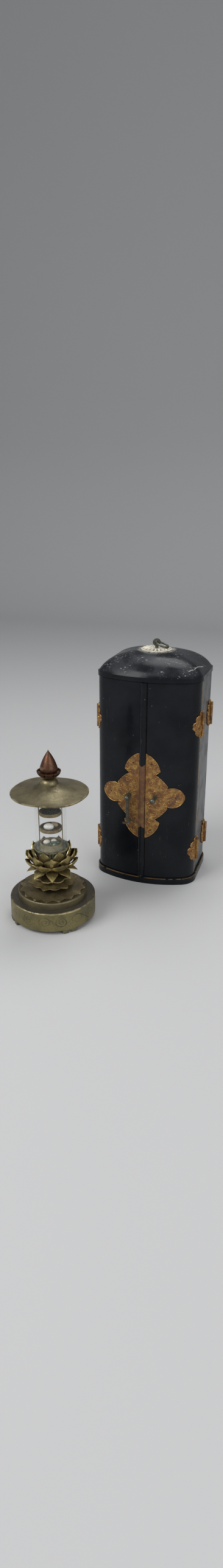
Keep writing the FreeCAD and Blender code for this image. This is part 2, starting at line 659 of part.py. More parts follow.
# The case's outline: two flat sides, four corner arcs and a bow at the front and at the back
corner_x = "(case_width / 2 - corner_radius)"
half_side = "(side_length / 2)"
bow_depth = "((case_depth - side_length) / 2)"
bow_radius = "((%s ^ 2 + %s ^ 2 - corner_radius ^ 2) / (2 * (%s - corner_radius)))" % (
    corner_x, bow_depth, bow_depth)
bow_centre = "(%s - case_depth / 2)" % bow_radius
centre_gap = "(%s - corner_radius)" % bow_radius
join_x = "(%s / %s)" % (corner_x, centre_gap)
join_y = "((-%s - %s) / %s)" % (half_side, bow_centre, centre_gap)
bisector = "(sqrt((1 + %s) ^ 2 + %s ^ 2))" % (join_x, join_y)


def corner_middle(off):
    # The middle of the front right corner's arc
    x = "(%s + (corner_radius + %s) * (1 + %s) / %s)" % (corner_x, off, join_x, bisector)
    y = "(-%s + (corner_radius + %s) * %s / %s)" % (half_side, off, join_y, bisector)
    return x, y


def corner_end(off):
    # Where the front right corner's arc meets the bow
    return "(%s * (%s + %s))" % (join_x, bow_radius, off), "(%s + %s * (%s + %s))" % (
        bow_centre, join_y, bow_radius, off)


def side_end(off):
    return "(case_width / 2 + %s)" % off, "-" + half_side


def bow_point(x, off):
    return x, "(%s - sqrt((%s + %s) ^ 2 - %s ^ 2))" % (bow_centre, bow_radius, off, x)


def mirrored(point, left=False, back=False):
    x, y = point
    return ("(-%s)" % x if left and x != "0" else x), ("(-%s)" % y if back else y)


def half_walk(off, left, back):
    # From the flat side's end around one corner to the middle of the bow, as path steps
    def at(point):
        return mirrored(point, left, back)
    end, corner, middle = at(side_end(off)), at(corner_end(off)), at(corner_middle(off))
    return end, middle + corner


def outline(off, share="1"):
    # The whole outline, moved outwards by an offset or scaled to a share of its size
    def scaled(point):
        return tuple("(%s * %s)" % (share, text) if share != "1" and text != "0" else text for text in point)
    middle = bow_point("0", off)
    steps = []
    for back in (False, True):
        start, stop = (True, False) if not back else (False, True)
        for number, left in enumerate((start, stop)):
            end, corner = half_walk(off, left, back)
            arc_end = corner[2:]
            if number == 0:
                steps += [end, corner[:2] + arc_end]
            else:
                top = mirrored(middle, False, back)
                steps += [top + arc_end, corner[:2] + end]
    return [scaled(step[:2]) + scaled(step[2:]) for step in steps]


def band_path(off_in, off_out, left, stop_x):
    # A front leaf's section: round its corner and along the bow to a given x
    sign = -1 if left else 1
    steps = []
    for off, forward in ((off_out, True), (off_in, False)):
        end, corner = half_walk(off, left, False)
        far = bow_point(stop_x, off)
        middle = bow_point("((%s + %d * %s) / 2)" % (stop_x, sign, corner_end(off)[0]), off)
        if forward:
            steps += [end, corner, middle + far]
        else:
            steps += [far, middle + corner[2:], corner[:2] + end]
    return steps


door_z = "(base_height + leaf_gap)"
door_top = "(base_height + door_height)"
leaf_height = "(door_height - 2 * leaf_gap)"
roof_top = "(%s + roof_rim + roof_rise)" % door_top
lock_z = "(base_height + lock_level)"
left_seam = "strip_half"
right_seam = "(strip_half + leaf_gap)"


def case_carcass():
    base = new_body("case_base")
    pad(base, "XY_Plane", [outline("base_ledge")], "base_height - base_bead")
    pad(base, "XY_Plane", [outline("base_bead_ledge")], "base_bead", "base_height - base_bead")
    keep(base, "case_base")
    floor = new_body("floor_board")
    pad(floor, "XY_Plane", [outline("-(case_wall + leaf_gap)")], "floor_board", "base_height")
    keep(floor, "floor_board")
    back = new_body("back_panel")
    far = mirrored(bow_point("0", "0"), False, True)
    near = mirrored(bow_point("0", "-case_wall"), False, True)
    right_out, right_corner = half_walk("0", False, True)
    left_out, left_corner = half_walk("0", True, True)
    right_in, right_corner_in = half_walk("-case_wall", False, True)
    left_in, left_corner_in = half_walk("-case_wall", True, True)
    pad(back, "XY_Plane", [[
        right_out, right_corner, far + left_corner[2:], left_corner[:2] + left_out,
        left_in, left_corner_in, near + right_corner_in[2:], right_corner_in[:2] + right_in]],
        "door_height", "base_height")
    keep(back, "back_panel")
    roof = new_body("roof")
    pad(roof, "XY_Plane", [outline("roof_overhang")], "roof_rim", door_top)
    levels = [("0", "1"), ("0.42 * roof_rise", "0.88"), ("0.78 * roof_rise", "0.66"),
              ("roof_rise", "roof_top_share")]
    sections = []
    for rise, share in levels:
        section = body_sketch(roof, "XY_Plane", "%s + roof_rim + %s" % (door_top, rise))
        draw(section, outline("0", share))
        sections.append(section)
    dome = roof.newObject("PartDesign::AdditiveLoft", "roof_dome")
    dome.Profile = sections[0]
    dome.Sections = sections[1:]
    keep(roof, "roof")


def leaves():
    for side, left in (("left", True), ("right", False)):
        front = new_body(side + "_front_leaf")
        stop = left_seam if left else right_seam
        pad(front, "XY_Plane", [band_path("-case_wall", "0", left, stop)], leaf_height, door_z)
        keep(front, side + "_front_leaf")
        sign = "-" if left else ""
        flat_leaf = new_body(side + "_side_leaf")
        outer, inner = sign + "case_width / 2", sign + "(case_width / 2 - case_wall)"
        ends = "(%s - leaf_gap)" % half_side
        pad(flat_leaf, "XY_Plane", [[(outer, "-" + ends), (outer, ends), (inner, ends), (inner, "-" + ends)]],
            leaf_height, door_z)
        keep(flat_leaf, side + "_side_leaf")
    # The half-round strip lies on the left leaf and covers the seam's side of it
    strip = new_body("door_strip")
    pad(strip, "XY_Plane", [strip_section("0", "strip_proud")], leaf_height, door_z)
    keep(strip, "door_strip")


def strip_section(low, high):
    edge = bow_point("strip_half", low)
    other = mirrored(edge, True)
    back = bow_point("0", low)
    return [edge, ("0", "-case_depth / 2 - %s" % high) + other, back + edge][1:]


def skin_block(name, left, stop_x):
    # A thin layer over a front leaf, as thick as a metal fitting
    section = free_sketch(name + "_skin", flat, band_path("0", "fitting", left, stop_x))
    return extrude(name + "_layer", section, (0, 0, 1), leaf_height, ("0", "0", door_z))


def lock_outline(left, inner_x):
    # One half of the lozenge: two hooked lobes above the side lobe and two below it
    sign = "-" if left else ""
    half = "(lock_height / 2)"

    def spot(across, up):
        return "%slock_half_width * %s" % (sign, across), "%s + %s * %s" % (lock_z, half, up)

    top = [(inner_x, "%s + %s" % (lock_z, half)),
           spot(0.32, 0.84) + spot(0.43, 0.61), spot(0.31, 0.53),
           spot(0.485, 0.4) + spot(0.61, 0.26), spot(0.57, 0.19),
           spot(0.83, 0.21) + spot(1, 0)]
    foot = [spot(0.83, -0.21) + spot(0.57, -0.19), spot(0.61, -0.26),
            spot(0.485, -0.4) + spot(0.31, -0.53), spot(0.43, -0.61),
            spot(0.32, -0.84) + (inner_x, "%s - %s" % (lock_z, half))]
    return top + foot


def lock():
    for side, left in (("left", True), ("right", False)):
        inner = "-strip_half" if left else right_seam
        label = side + "_lock_plate"
        face = free_sketch(label + "_outline", facing_front, lock_outline(left, inner))
        block = extrude(label + "_block", face, (0, -1, 0), "case_depth")
        layer = skin_block(label, left, inner)
        keep(boolean("Common", label, layer, block), label)
    # The middle piece wraps the strip, with a pointed arch cut into each end
    over = free_sketch("strip_plate_section", flat, strip_cover())
    sleeve = extrude("strip_plate_sleeve", over, (0, 0, 1), leaf_height, ("0", "0", door_z))
    tall = "(lock_height * 0.39)"
    deep = "(%s - strip_half)" % tall
    side = "(strip_half + fitting)"
    face = free_sketch("strip_plate_outline", facing_front, [
        ("-" + side, "%s - %s" % (lock_z, tall)), ("-" + side, "%s + %s" % (lock_z, tall)),
        ("0", "%s + %s" % (lock_z, deep)), (side, "%s + %s" % (lock_z, tall)),
        (side, "%s - %s" % (lock_z, tall)), ("0", "%s - %s" % (lock_z, deep))])
    block = extrude("strip_plate_block", face, (0, -1, 0), "case_depth")
    keep(boolean("Common", "strip_lock_plate", sleeve, block), "strip_lock_plate")


def strip_cover():
    # The space between the strip's round face and the same face moved out by the fitting
    edge = bow_point("strip_half", "0")
    other = mirrored(edge, True)
    top, outer = "-case_depth / 2 - strip_proud", "-case_depth / 2 - strip_proud - fitting"
    lifted = (edge[0], "%s - fitting" % edge[1])
    lifted_other = mirrored(lifted, True)
    return [edge, ("0", top) + other, lifted_other, ("0", outer) + lifted]


hook_back = "(case_depth / 2 + hook_standoff)"
hook_front = "(%s + hook_thickness)" % hook_back
post_face = "(-%s)" % bow_point("(post_offset - post_base)", "fitting")[1]


def post(label, x, head):
    # A round post square to the case's front, with a collar at its foot and a ball for its head
    turn = FreeCAD.Rotation(FreeCAD.Vector(1, 0, 0), 90)
    head_y = "(%s + head_gap + %s)" % (hook_front, head)
    collar = primitive("Part::Cylinder", label + "_foot", {
        "Radius": "post_base", "Height": "post_collar"}, (x, "-" + post_face, lock_z), turn)
    stem = primitive("Part::Cylinder", label + "_stem", {
        "Radius": "post_radius", "Height": "%s - %s" % (head_y, post_face)},
        (x, "-" + post_face, lock_z), turn)
    ball = primitive("Part::Sphere", label + "_ball", {"Radius": head}, (x, "-" + head_y, lock_z))
    thing = doc.addObject("Part::MultiFuse", label)
    thing.Shapes = [collar, stem, ball]
    keep(thing, label)


def hook():
    # The hook hangs from the left post: its bar runs down to a slot that drops over the catch post
    reach = "(2 * post_offset)"
    outer = "(hook_slot + hook_limb)"

    def at(along, across):
        return "-post_offset + %s" % across, "%s - (%s)" % (lock_z, along)

    shoulder = "%s - sqrt(%s ^ 2 - hook_bar ^ 2)" % (reach, outer)
    tail = "(-hook_tail)"
    path = [
        at("0", "-hook_bar"), at(reach + " - hook_slot", "-hook_bar"), at(reach + " - hook_slot", "0"),
        at(reach, "hook_slot") + at(reach + " + hook_slot", "0"), at(reach + " + hook_slot", tail),
        at(reach + " + hook_slot + hook_limb / 2", tail + " - hook_limb / 2")
        + at("%s + %s" % (reach, outer), tail),
        at("%s + %s" % (reach, outer), "0"), at(reach, outer) + at(shoulder, "hook_bar"), at("0", "hook_bar")]
    body = new_body("hook")
    pad(body, "XZ_Plane", [path], "hook_thickness", hook_back)
    pad(body, "XZ_Plane", [("-post_offset", lock_z, "hook_eye")], "hook_thickness", hook_back)
    pocket(body, "XZ_Plane", ("-post_offset", lock_z, "post_radius + hook_clearance"))
    keep(body, "hook")


knuckle_end = "(hinge_height * 0.42)"


def plate_outline(direction, seam, level, upper):
    # A scalloped plate that ends in a point; it reaches the pin only beside its own knuckle
    clear = "(knuckle_radius + knuckle_gap)"
    sign = "" if upper else "-"

    def spot(away, up):
        return "(%s + %s * %s)" % (seam, direction, away), "(%s + %s1 * %s)" % (level, sign, up)

    def lobe(across, up):
        return spot("hinge_reach * %s" % across, "hinge_height * %s" % up)

    seat = "knuckle_gap / 2"
    return [
        spot("0", seat), spot("0", knuckle_end), lobe(0.24, 0.5) + lobe(0.42, 0.36),
        lobe(0.72, 0.34) + lobe(0.78, 0.16), lobe(0.96, 0.13) + lobe(1, 0),
        lobe(0.96, -0.13) + lobe(0.78, -0.16), lobe(0.72, -0.34) + lobe(0.42, -0.36),
        lobe(0.3, -0.46) + spot(clear, "(-%s)" % knuckle_end), spot(clear, seat)]


def hinge_half(name, side, end, curved, level, upper):
    # One plate with its knuckle; the lower one carries the pin and the upper one turns on it
    right = "1" if side == "right" else "-1"
    back = "1" if end == "rear" else "-1"
    seam = "(%s * %s)" % (back, half_side)
    direction = back if curved else "(-%s)" % back
    face = free_sketch(name + "_outline", facing_side, plate_outline(direction, seam, level, upper))
    thick = "corner_radius + fitting" if curved else "fitting"
    block = extrude(name + "_block", face, (1 if side == "right" else -1, 0, 0), thick,
                    ("%s * %s" % (right, corner_x if curved else "case_width / 2"), "0", "0"))
    plate = block
    if curved:
        low = "(%s - hinge_height)" % level
        round_place = ("%s * %s" % (right, corner_x), seam, low)
        tall = "2 * hinge_height"
        outer = primitive("Part::Cylinder", name + "_outer", {"Radius": "corner_radius + fitting",
                                                              "Height": tall}, round_place)
        inner = primitive("Part::Cylinder", name + "_inner", {"Radius": "corner_radius", "Height": tall},
                          round_place)
        plate = boolean("Common", name + "_plate", boolean("Cut", name + "_skin", outer, inner), block)
    axis_x = "%s * (case_width / 2 + knuckle_proud)" % right
    length = "(%s - knuckle_gap / 2)" % knuckle_end
    low = "(%s + knuckle_gap / 2)" % level if upper else "(%s - %s)" % (level, knuckle_end)
    knuckle = primitive("Part::Cylinder", name + "_knuckle", {"Radius": "knuckle_radius", "Height": length},
                        (axis_x, seam, low))
    half = boolean("Fuse", name + "_half", plate, knuckle)
    pin_size = {"Radius": "pin_radius + pin_clearance" if upper else "pin_radius",
                "Height": "2 * %s" % knuckle_end}
    pin = primitive("Part::Cylinder", name + "_pin", pin_size,
                    (axis_x, seam, "(%s - %s)" % (level, knuckle_end)))
    return boolean("Cut" if upper else "Fuse", name + "_done", half, pin)


hinge_levels = ["(%s + hinge_low_inset)" % door_z, "(%s - hinge_top_inset)" % door_top]


def hinges():
    # The part nearer the back carries the pins, so each leaf hangs on the one behind it
    for side in ("left", "right"):
        for end, curved, upper, carrier in (
                ("rear", True, False, "back"), ("rear", False, True, "side"),
                ("front", False, False, "side"), ("front", True, True, "leaf")):
            label = "%s_%s_hinge_%s" % (side, end, carrier)
            pair = doc.addObject("Part::Compound", label)
            pair.Links = [hinge_half("%s_%d" % (label, number), side, end, curved, level, upper)
                          for number, level in enumerate(hinge_levels)]
            keep(pair, label)


def nail(name, side, end, curved, level):
    # A domed nail head on a hinge plate, square to the surface under it
    right = 1 if side == "right" else -1
    back = 1 if end == "rear" else -1
    if curved:
        angle = value("nail_reach / corner_radius")
        out = FreeCAD.Vector(right * math.cos(angle), back * math.sin(angle), 0)
        turn = "(nail_reach / corner_radius * 180 / pi)"
        x = "%d * (%s + (corner_radius + fitting) * cos(%s))" % (right, corner_x, turn)
        y = "%d * (%s + (corner_radius + fitting) * sin(%s))" % (back, half_side, turn)
    else:
        out = FreeCAD.Vector(right, 0, 0)
        x = "%d * (case_width / 2 + fitting)" % right
        y = "%d * (%s - nail_reach)" % (back, half_side)
    head = primitive("Part::Sphere", name, {"Radius": "nail_radius"}, (x, y, level),
                     FreeCAD.Rotation(FreeCAD.Vector(0, 0, 1), out))
    head.Angle1 = 0
    return head


def nails():
    groups = {"back_nails": [], "left_side_nails": [], "right_side_nails": [], "left_front_nails": [],
              "right_front_nails": []}
    for side in ("left", "right"):
        for end, curved, owner in (("rear", True, "back_nails"), ("rear", False, side + "_side_nails"),
                                   ("front", False, side + "_side_nails"),
                                   ("front", True, side + "_front_nails")):
            for number, level in enumerate(hinge_levels):
                name = "%s_%s_%s_nail_%d" % (side, end, "corner" if curved else "flat", number)
                groups[owner].append(nail(name, side, end, curved, level))
    for label, heads in groups.items():
        group = doc.addObject("Part::Compound", label)
        group.Links = heads
        keep(group, label)


def roof_ring():
    rosette_top = "(%s + rosette_thickness)" % roof_top
    rosette = revolve("rosette", [
        ("0", roof_top), ("rosette_radius", roof_top),
        ("rosette_radius", "%s + rosette_thickness / 2" % roof_top),
        ("rosette_radius * 0.55", "%s - rosette_thickness * 0.16" % rosette_top, "eye_stem", rosette_top),
        ("0", rosette_top)])
    half = "(rosette_slot_width / 2)"
    stop = "(rosette_radius - rosette_slot_margin)"
    pocket(rosette, "XY_Plane", [
        ("rosette_slot_inner", "-" + half), (stop, "-" + half), (stop + " + " + half, "0", stop, half),
        ("rosette_slot_inner", half)], "rosette_slots")
    keep(rosette, "rosette")
    hole_z = "(%s + eye_rise)" % rosette_top
    across = FreeCAD.Rotation(FreeCAD.Vector(1, 0, 0), 90)
    disc = primitive("Part::Cylinder", "eye_disc", {"Radius": "eye_radius", "Height": "eye_breadth"},
                     ("0", "eye_breadth / 2", hole_z), across)
    stem = primitive("Part::Cylinder", "eye_stem_rod", {
        "Radius": "eye_stem", "Height": "eye_rise - (eye_radius + eye_hole) / 2"}, ("0", "0", rosette_top))
    hole = primitive("Part::Cylinder", "eye_bore", {"Radius": "eye_hole", "Height": "eye_breadth * 2"},
                     ("0", "eye_breadth", hole_z), across)
    keep(boolean("Cut", "eye_post", boolean("Fuse", "eye_solid", disc, stem), hole), "eye_post")
    # The ring leans down to the right until it nearly lies on the rosette
    drop = "((eye_rise - ring_wire - ring_rest_gap) / (2 * ring_radius))"
    lean = FreeCAD.Rotation(FreeCAD.Vector(0, 1, 0), 1)
    ring = primitive("Part::Torus", "ring", {"Radius1": "ring_radius", "Radius2": "ring_wire"},
                     ("ring_radius * sqrt(1 - %s ^ 2)" % drop, "0", "%s - ring_radius * %s" % (hole_z, drop)),
                     lean)
    bind(ring, "Placement.Rotation.Angle", "asin(%s)" % drop)
    keep(ring, "ring")


stand_drum()
tie_rod()
lotus_sheets()
spacer("lower_spacer", lower_spacer_z, "flare_height", "lower_spacer_waist")
spacer("upper_spacer", upper_spacer_z, "upper_spacer_height", "upper_spacer_waist")
drooping_sheet()
half_pitch = 180 / value("petals")
petal_sheet("outer_petals", outer_z, "outer", 0, True)
petal_sheet("middle_petals", middle_z, "middle", half_pitch, True)
petal_sheet("inner_petals", inner_z, "inner", 0, False)
pod_and_tube()
relic_rack()
relics()
canopy_and_finial()
case_carcass()
leaves()
lock()
post("hook_post", "-post_offset", "hook_head")
post("catch_post", "post_offset", "catch_ball")
hook()
hinges()
nails()
roof_ring()

doc.recompute()
for thing in doc.Objects:
    if "Invalid" in thing.State or "Error" in thing.State:
        raise RuntimeError("%s failed: %s" % (thing.Label, thing.State))
for part in parts:
    if part.Shape.isNull() or not part.Shape.isValid() or not part.Shape.Solids:
        raise RuntimeError("%s has no sound solid" % part.Label)

os.makedirs("parts", exist_ok=True)
for part in parts:
    part.Shape.exportStep("parts/%s.step" % part.Label)
print("%d parts written" % len(parts))
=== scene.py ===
import json
import math
import random

import bmesh
import bpy
from mathutils import Matrix, Vector
from mathutils.bvhtree import BVHTree

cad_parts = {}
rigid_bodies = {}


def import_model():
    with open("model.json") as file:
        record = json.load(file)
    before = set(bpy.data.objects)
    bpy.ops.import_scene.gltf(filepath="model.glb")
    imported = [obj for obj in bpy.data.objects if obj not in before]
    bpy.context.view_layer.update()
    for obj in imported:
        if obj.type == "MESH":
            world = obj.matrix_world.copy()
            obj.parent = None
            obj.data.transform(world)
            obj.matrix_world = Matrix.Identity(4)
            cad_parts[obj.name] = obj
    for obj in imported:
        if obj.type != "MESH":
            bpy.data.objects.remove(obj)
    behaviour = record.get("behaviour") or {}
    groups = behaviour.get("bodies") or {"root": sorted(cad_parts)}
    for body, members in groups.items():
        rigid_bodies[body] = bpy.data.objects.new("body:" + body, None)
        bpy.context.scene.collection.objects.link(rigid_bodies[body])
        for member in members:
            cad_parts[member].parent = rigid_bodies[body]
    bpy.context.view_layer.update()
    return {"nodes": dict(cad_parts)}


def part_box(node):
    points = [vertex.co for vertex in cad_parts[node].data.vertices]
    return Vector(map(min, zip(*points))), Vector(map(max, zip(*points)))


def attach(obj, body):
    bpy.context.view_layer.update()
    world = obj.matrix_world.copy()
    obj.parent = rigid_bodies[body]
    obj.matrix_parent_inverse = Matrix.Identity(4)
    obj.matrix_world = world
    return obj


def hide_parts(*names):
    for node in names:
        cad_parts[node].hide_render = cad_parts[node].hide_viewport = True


for spare in list(bpy.data.objects):
    bpy.data.objects.remove(spare)  # the start-up cube, lamp and camera
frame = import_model()
nodes = frame["nodes"]
scene = bpy.context.scene
scene.view_settings.view_transform = "Standard"
mm = 0.001
standX, standY = -70 * mm, -138 * mm  # the stand's own axis
print("frame:", len(nodes), "nodes")


class Val:
    # a socket that can be used in sums
    def __init__(self, paint, socket):
        self.paint = paint
        self.socket = socket

    def maths(self, operation, *parts):
        return self.paint.add("ShaderNodeMath", {"operation": operation}, parts)

    def __add__(self, other):
        return self.maths("ADD", self, other)

    def __radd__(self, other):
        return self.maths("ADD", other, self)

    def __sub__(self, other):
        return self.maths("SUBTRACT", self, other)

    def __rsub__(self, other):
        return self.maths("SUBTRACT", other, self)

    def __mul__(self, other):
        return self.maths("MULTIPLY", self, other)

    def __rmul__(self, other):
        return self.maths("MULTIPLY", other, self)

    def __truediv__(self, other):
        return self.maths("DIVIDE", self, other)

    def __mod__(self, other):
        return self.maths("FLOORED_MODULO", self, other)

    def __pow__(self, other):
        return self.maths("POWER", self, other)

    def __abs__(self):
        return self.maths("ABSOLUTE", self)

    def __gt__(self, other):
        return self.maths("GREATER_THAN", self, other)

    def __lt__(self, other):
        return self.maths("LESS_THAN", self, other)


class Paint:
    # one material and the nodes it is made of
    def __init__(self, name):
        self.material = bpy.data.materials.new(name)
        self.material.use_nodes = True
        self.tree = self.material.node_tree
        self.tree.nodes.clear()
        self.place = self.add("ShaderNodeTexCoord", out="Object")

    def add(self, kind, settings=None, sockets=(), out=0):
        node = self.tree.nodes.new(kind)
        for key, setting in (settings or {}).items():
            setattr(node, key, setting)
        for key, what in sockets.items() if isinstance(sockets, dict) else enumerate(sockets):
            if isinstance(what, Val):
                self.tree.links.new(what.socket, node.inputs[key])
            elif node.inputs[key].type == "RGBA" and len(what) == 3:
                node.inputs[key].default_value = (*what, 1)
            else:
                node.inputs[key].default_value = what
        return Val(self, node.outputs[out])

    def split(self, vector=None):
        vector = vector or self.place
        return [self.add("ShaderNodeSeparateXYZ", None, [vector], axis) for axis in "XYZ"]

    def moved(self, offset, stretch=(1, 1, 1), turn=(0, 0, 0)):
        return self.add("ShaderNodeMapping", {"vector_type": "POINT"}, {
            "Vector": self.place, "Location": offset, "Rotation": turn, "Scale": stretch})

    def noise(self, size, detail=3, rough=0.55, vector=None, swirl=0):
        return self.add("ShaderNodeTexNoise", None, {
            "Vector": vector or self.place, "Scale": 1 / size, "Detail": detail, "Roughness": rough,
            "Distortion": swirl})

    def cells(self, size, feature="F1"):
        return self.add("ShaderNodeTexVoronoi", {"feature": feature}, {
            "Vector": self.place, "Scale": 1 / size}, "Distance")

    def ramp(self, value, low, high):
        # 0 below low, 1 above high, smooth between
        return self.add("ShaderNodeMapRange", {"interpolation_type": "SMOOTHSTEP"}, {
            "Value": value, "From Min": low, "From Max": high})

    def mix(self, share, first, second):
        return self.add("ShaderNodeMix", {"data_type": "RGBA"}, {0: share, 6: first, 7: second}, 2)

    def sine(self, value):
        return self.add("ShaderNodeMath", {"operation": "SINE"}, [value])

    def least(self, first, second):
        return self.add("ShaderNodeMath", {"operation": "MINIMUM"}, [first, second])

    def most(self, first, second):
        return self.add("ShaderNodeMath", {"operation": "MAXIMUM"}, [first, second])

    def reach(self, x, y):
        return (x * x + y * y) ** 0.5

    def angle(self, x, y):
        return self.add("ShaderNodeMath", {"operation": "ARCTAN2"}, [y, x])

    def bump(self, height, depth):
        return self.add("ShaderNodeBump", None, {
            "Strength": 1.0, "Distance": depth, "Height": height}, "Normal")

    def finish(self, **sockets):
        shader = self.add("ShaderNodeBsdfPrincipled", None, {
            key.replace("_", " "): what for key, what in sockets.items()})
        output = self.tree.nodes.new("ShaderNodeOutputMaterial")
        self.tree.links.new(shader.socket, output.inputs["Surface"])
        return self.material


def standPlace(paint):
    # the distance from the stand's axis, the angle round it and the height
    x, y, z = paint.split(paint.moved((-standX, -standY, 0)))
    return paint.reach(x, y), paint.angle(x, y), z


def agedMetal(paint, look, dark, bright, normalHeight=None, depth=0.0002):
    # old metal: base colour, grain dirt, a dark and a bright mask from the caller (engraving, dirt and
    # painted shade; wear and painted highlight), with fine pitting
    cloud = paint.noise(look["cloud"], 4, 0.6)
    grain = paint.noise(look["grain"], 5, 0.65)
    colour = paint.mix(paint.ramp(cloud, 0.35, 0.68), look["base"], look["second"])
    colour = paint.mix(paint.ramp(grain, 0.52, 0.75) * look["dirt_and_painted_shade"], colour, look["dark"])
    if dark is not None:
        colour = paint.mix(dark, colour, look["dark"])
    colour = paint.mix(bright, colour, look["bright"])
    height = grain * 0.25
    if normalHeight is not None:
        height = height + normalHeight
    rough = paint.ramp(grain, 0.3, 0.8) * look["roughSpan"] + look["rough"]
    return paint.finish(Base_Color=colour, Metallic=look["metal"], Roughness=rough,
                        Normal=paint.bump(height, depth))


print("toolkit ready")

petalLook = {
    "base": (0.38, 0.29, 0.115), "second": (0.175, 0.148, 0.068), "dark": (0.04, 0.031, 0.015),
    "bright": (0.66, 0.53, 0.26), "cloud": 8 * mm, "grain": 1.6 * mm, "dirt_and_painted_shade": 0.55,
    "rough": 0.3, "roughSpan": 0.3, "metal": 0.85}
petalsRound = 8
petalRings = {
    # lowest and highest level, half width, turn and how many engraved lines run along each petal
    "outer_petals": {"low": 57.6, "high": 68.8, "wide": 9.1, "turn": 0, "lines": 11},
    "middle_petals": {"low": 58.4, "high": 74.6, "wide": 8.0, "turn": 22.5, "lines": 11},
    "inner_petals": {"low": 59.2, "high": 80.4, "wide": 6.8, "turn": 0, "lines": 9}}


def petalPaint(name, ring):
    paint = Paint(name)
    r, turn, z = standPlace(paint)
    pitch = math.tau / petalsRound
    local = (turn - math.radians(ring["turn"]) + pitch / 2) % pitch - pitch / 2
    along = paint.ramp(z, ring["low"] * mm, ring["high"] * mm)
    half = paint.most(1 - along ** 3, 0.05) ** 0.5 * (ring["wide"] * mm)
    across = local * r / half
    lines = paint.sine(across * (math.pi * ring["lines"]))
    groove = paint.ramp(lines, 0.7, 0.98) * paint.ramp(along, 0.05, 0.3)
    groove = groove * paint.ramp(paint.noise(8 * mm, 2), 0.36, 0.6)
    edge = paint.ramp(abs(across), 0.82, 0.98)
    worn = paint.ramp(paint.noise(5 * mm, 3), 0.45, 0.62)
    # painted shade: each petal is darker towards its root, where the petals lie in each other's shadow
    root = (1 - paint.ramp(along, 0.0, 0.35)) * 0.6
    dark = paint.most(groove * 0.5, root)
    return agedMetal(paint, petalLook, dark, edge * worn * 0.7, 0.6 - groove, 0.00018)


def veinPaint(name, look, count, inner, outer, cut):
    # a turned sheet with engraved rays, worn away in places, a rubbed rim and painted shade towards the
    # middle
    paint = Paint(name)
    r, turn = standPlace(paint)[:2]
    wobble = paint.noise(9 * mm, 2) * 1.6
    rays = paint.sine(turn * count + wobble)
    groove = paint.ramp(rays, 0.62, 0.97) * paint.ramp(r, inner * mm, (inner + 3) * mm)
    groove = groove * paint.ramp(paint.noise(7 * mm, 3), 0.36, 0.62)
    rim = paint.ramp(r, (outer - 2.2) * mm, outer * mm)
    worn = paint.ramp(paint.noise(4 * mm, 3), 0.4, 0.6)
    # painted shade: darker towards the middle, where the sheets lie under one another
    dirt_and_painted_shade = (1 - paint.ramp(r, inner * mm, (inner + outer) * 0.55 * mm)) * 0.55
    dark = paint.most(groove * cut, dirt_and_painted_shade)
    return agedMetal(paint, look, dark, rim * worn * 0.7, 0.5 - groove * cut, 0.00025)


def plainPaint(name, look, banding=0.0):
    # turned or cast metal with faint rings from the lathe
    paint = Paint(name)
    z = paint.split()[2]
    rings = paint.sine(z * (math.tau / (0.9 * mm)) + paint.noise(20 * mm, 1) * 3) * banding
    worn = paint.ramp(paint.noise(6 * mm, 4), 0.6, 0.72) * 0.5
    return agedMetal(paint, look, None, worn, rings, 0.00015)


def hatPaint(name, look, outer):
    # beaten sheet: soft hammer marks, darker towards the crown, a worn brim
    paint = Paint(name)
    r = standPlace(paint)[0]
    marks = paint.cells(4.5 * mm, feature="SMOOTH_F1")
    dark = (1 - paint.ramp(r, 8 * mm, 24 * mm)) * paint.ramp(paint.noise(7 * mm, 4), 0.35, 0.65)
    brim = paint.ramp(r, (outer - 1.6) * mm, outer * mm) * paint.ramp(paint.noise(5 * mm, 3), 0.4, 0.6)
    return agedMetal(paint, look, dark * 0.5, brim * 0.7, marks * 0.5, 0.0003)


drumLook = {"base": (0.235, 0.2, 0.09), "second": (0.145, 0.13, 0.068), "dark": (0.03, 0.027, 0.02),
            "bright": (0.55, 0.45, 0.24), "top": (0.075, 0.07, 0.066), "cloud": 18 * mm, "grain": 1.4 * mm,
            "radius": 44 * mm, "curls": 16, "curlPitch": 3.1 * mm, "curlReach": 7 * mm, "middle": 14 * mm,
            "swing": 5.2 * mm,
            # where the side, the top and the worn edge begin and are whole, as reaches and levels
            "wall": (43.2 * mm, 43.8 * mm), "sideLow": (5.5 * mm, 7 * mm), "sideHigh": (21.5 * mm, 23 * mm),
            "topLevel": (23.4 * mm, 23.9 * mm), "edgeReach": (41.6 * mm, 43.4 * mm),
            "edgeLevel": (22.4 * mm, 23.2 * mm)}


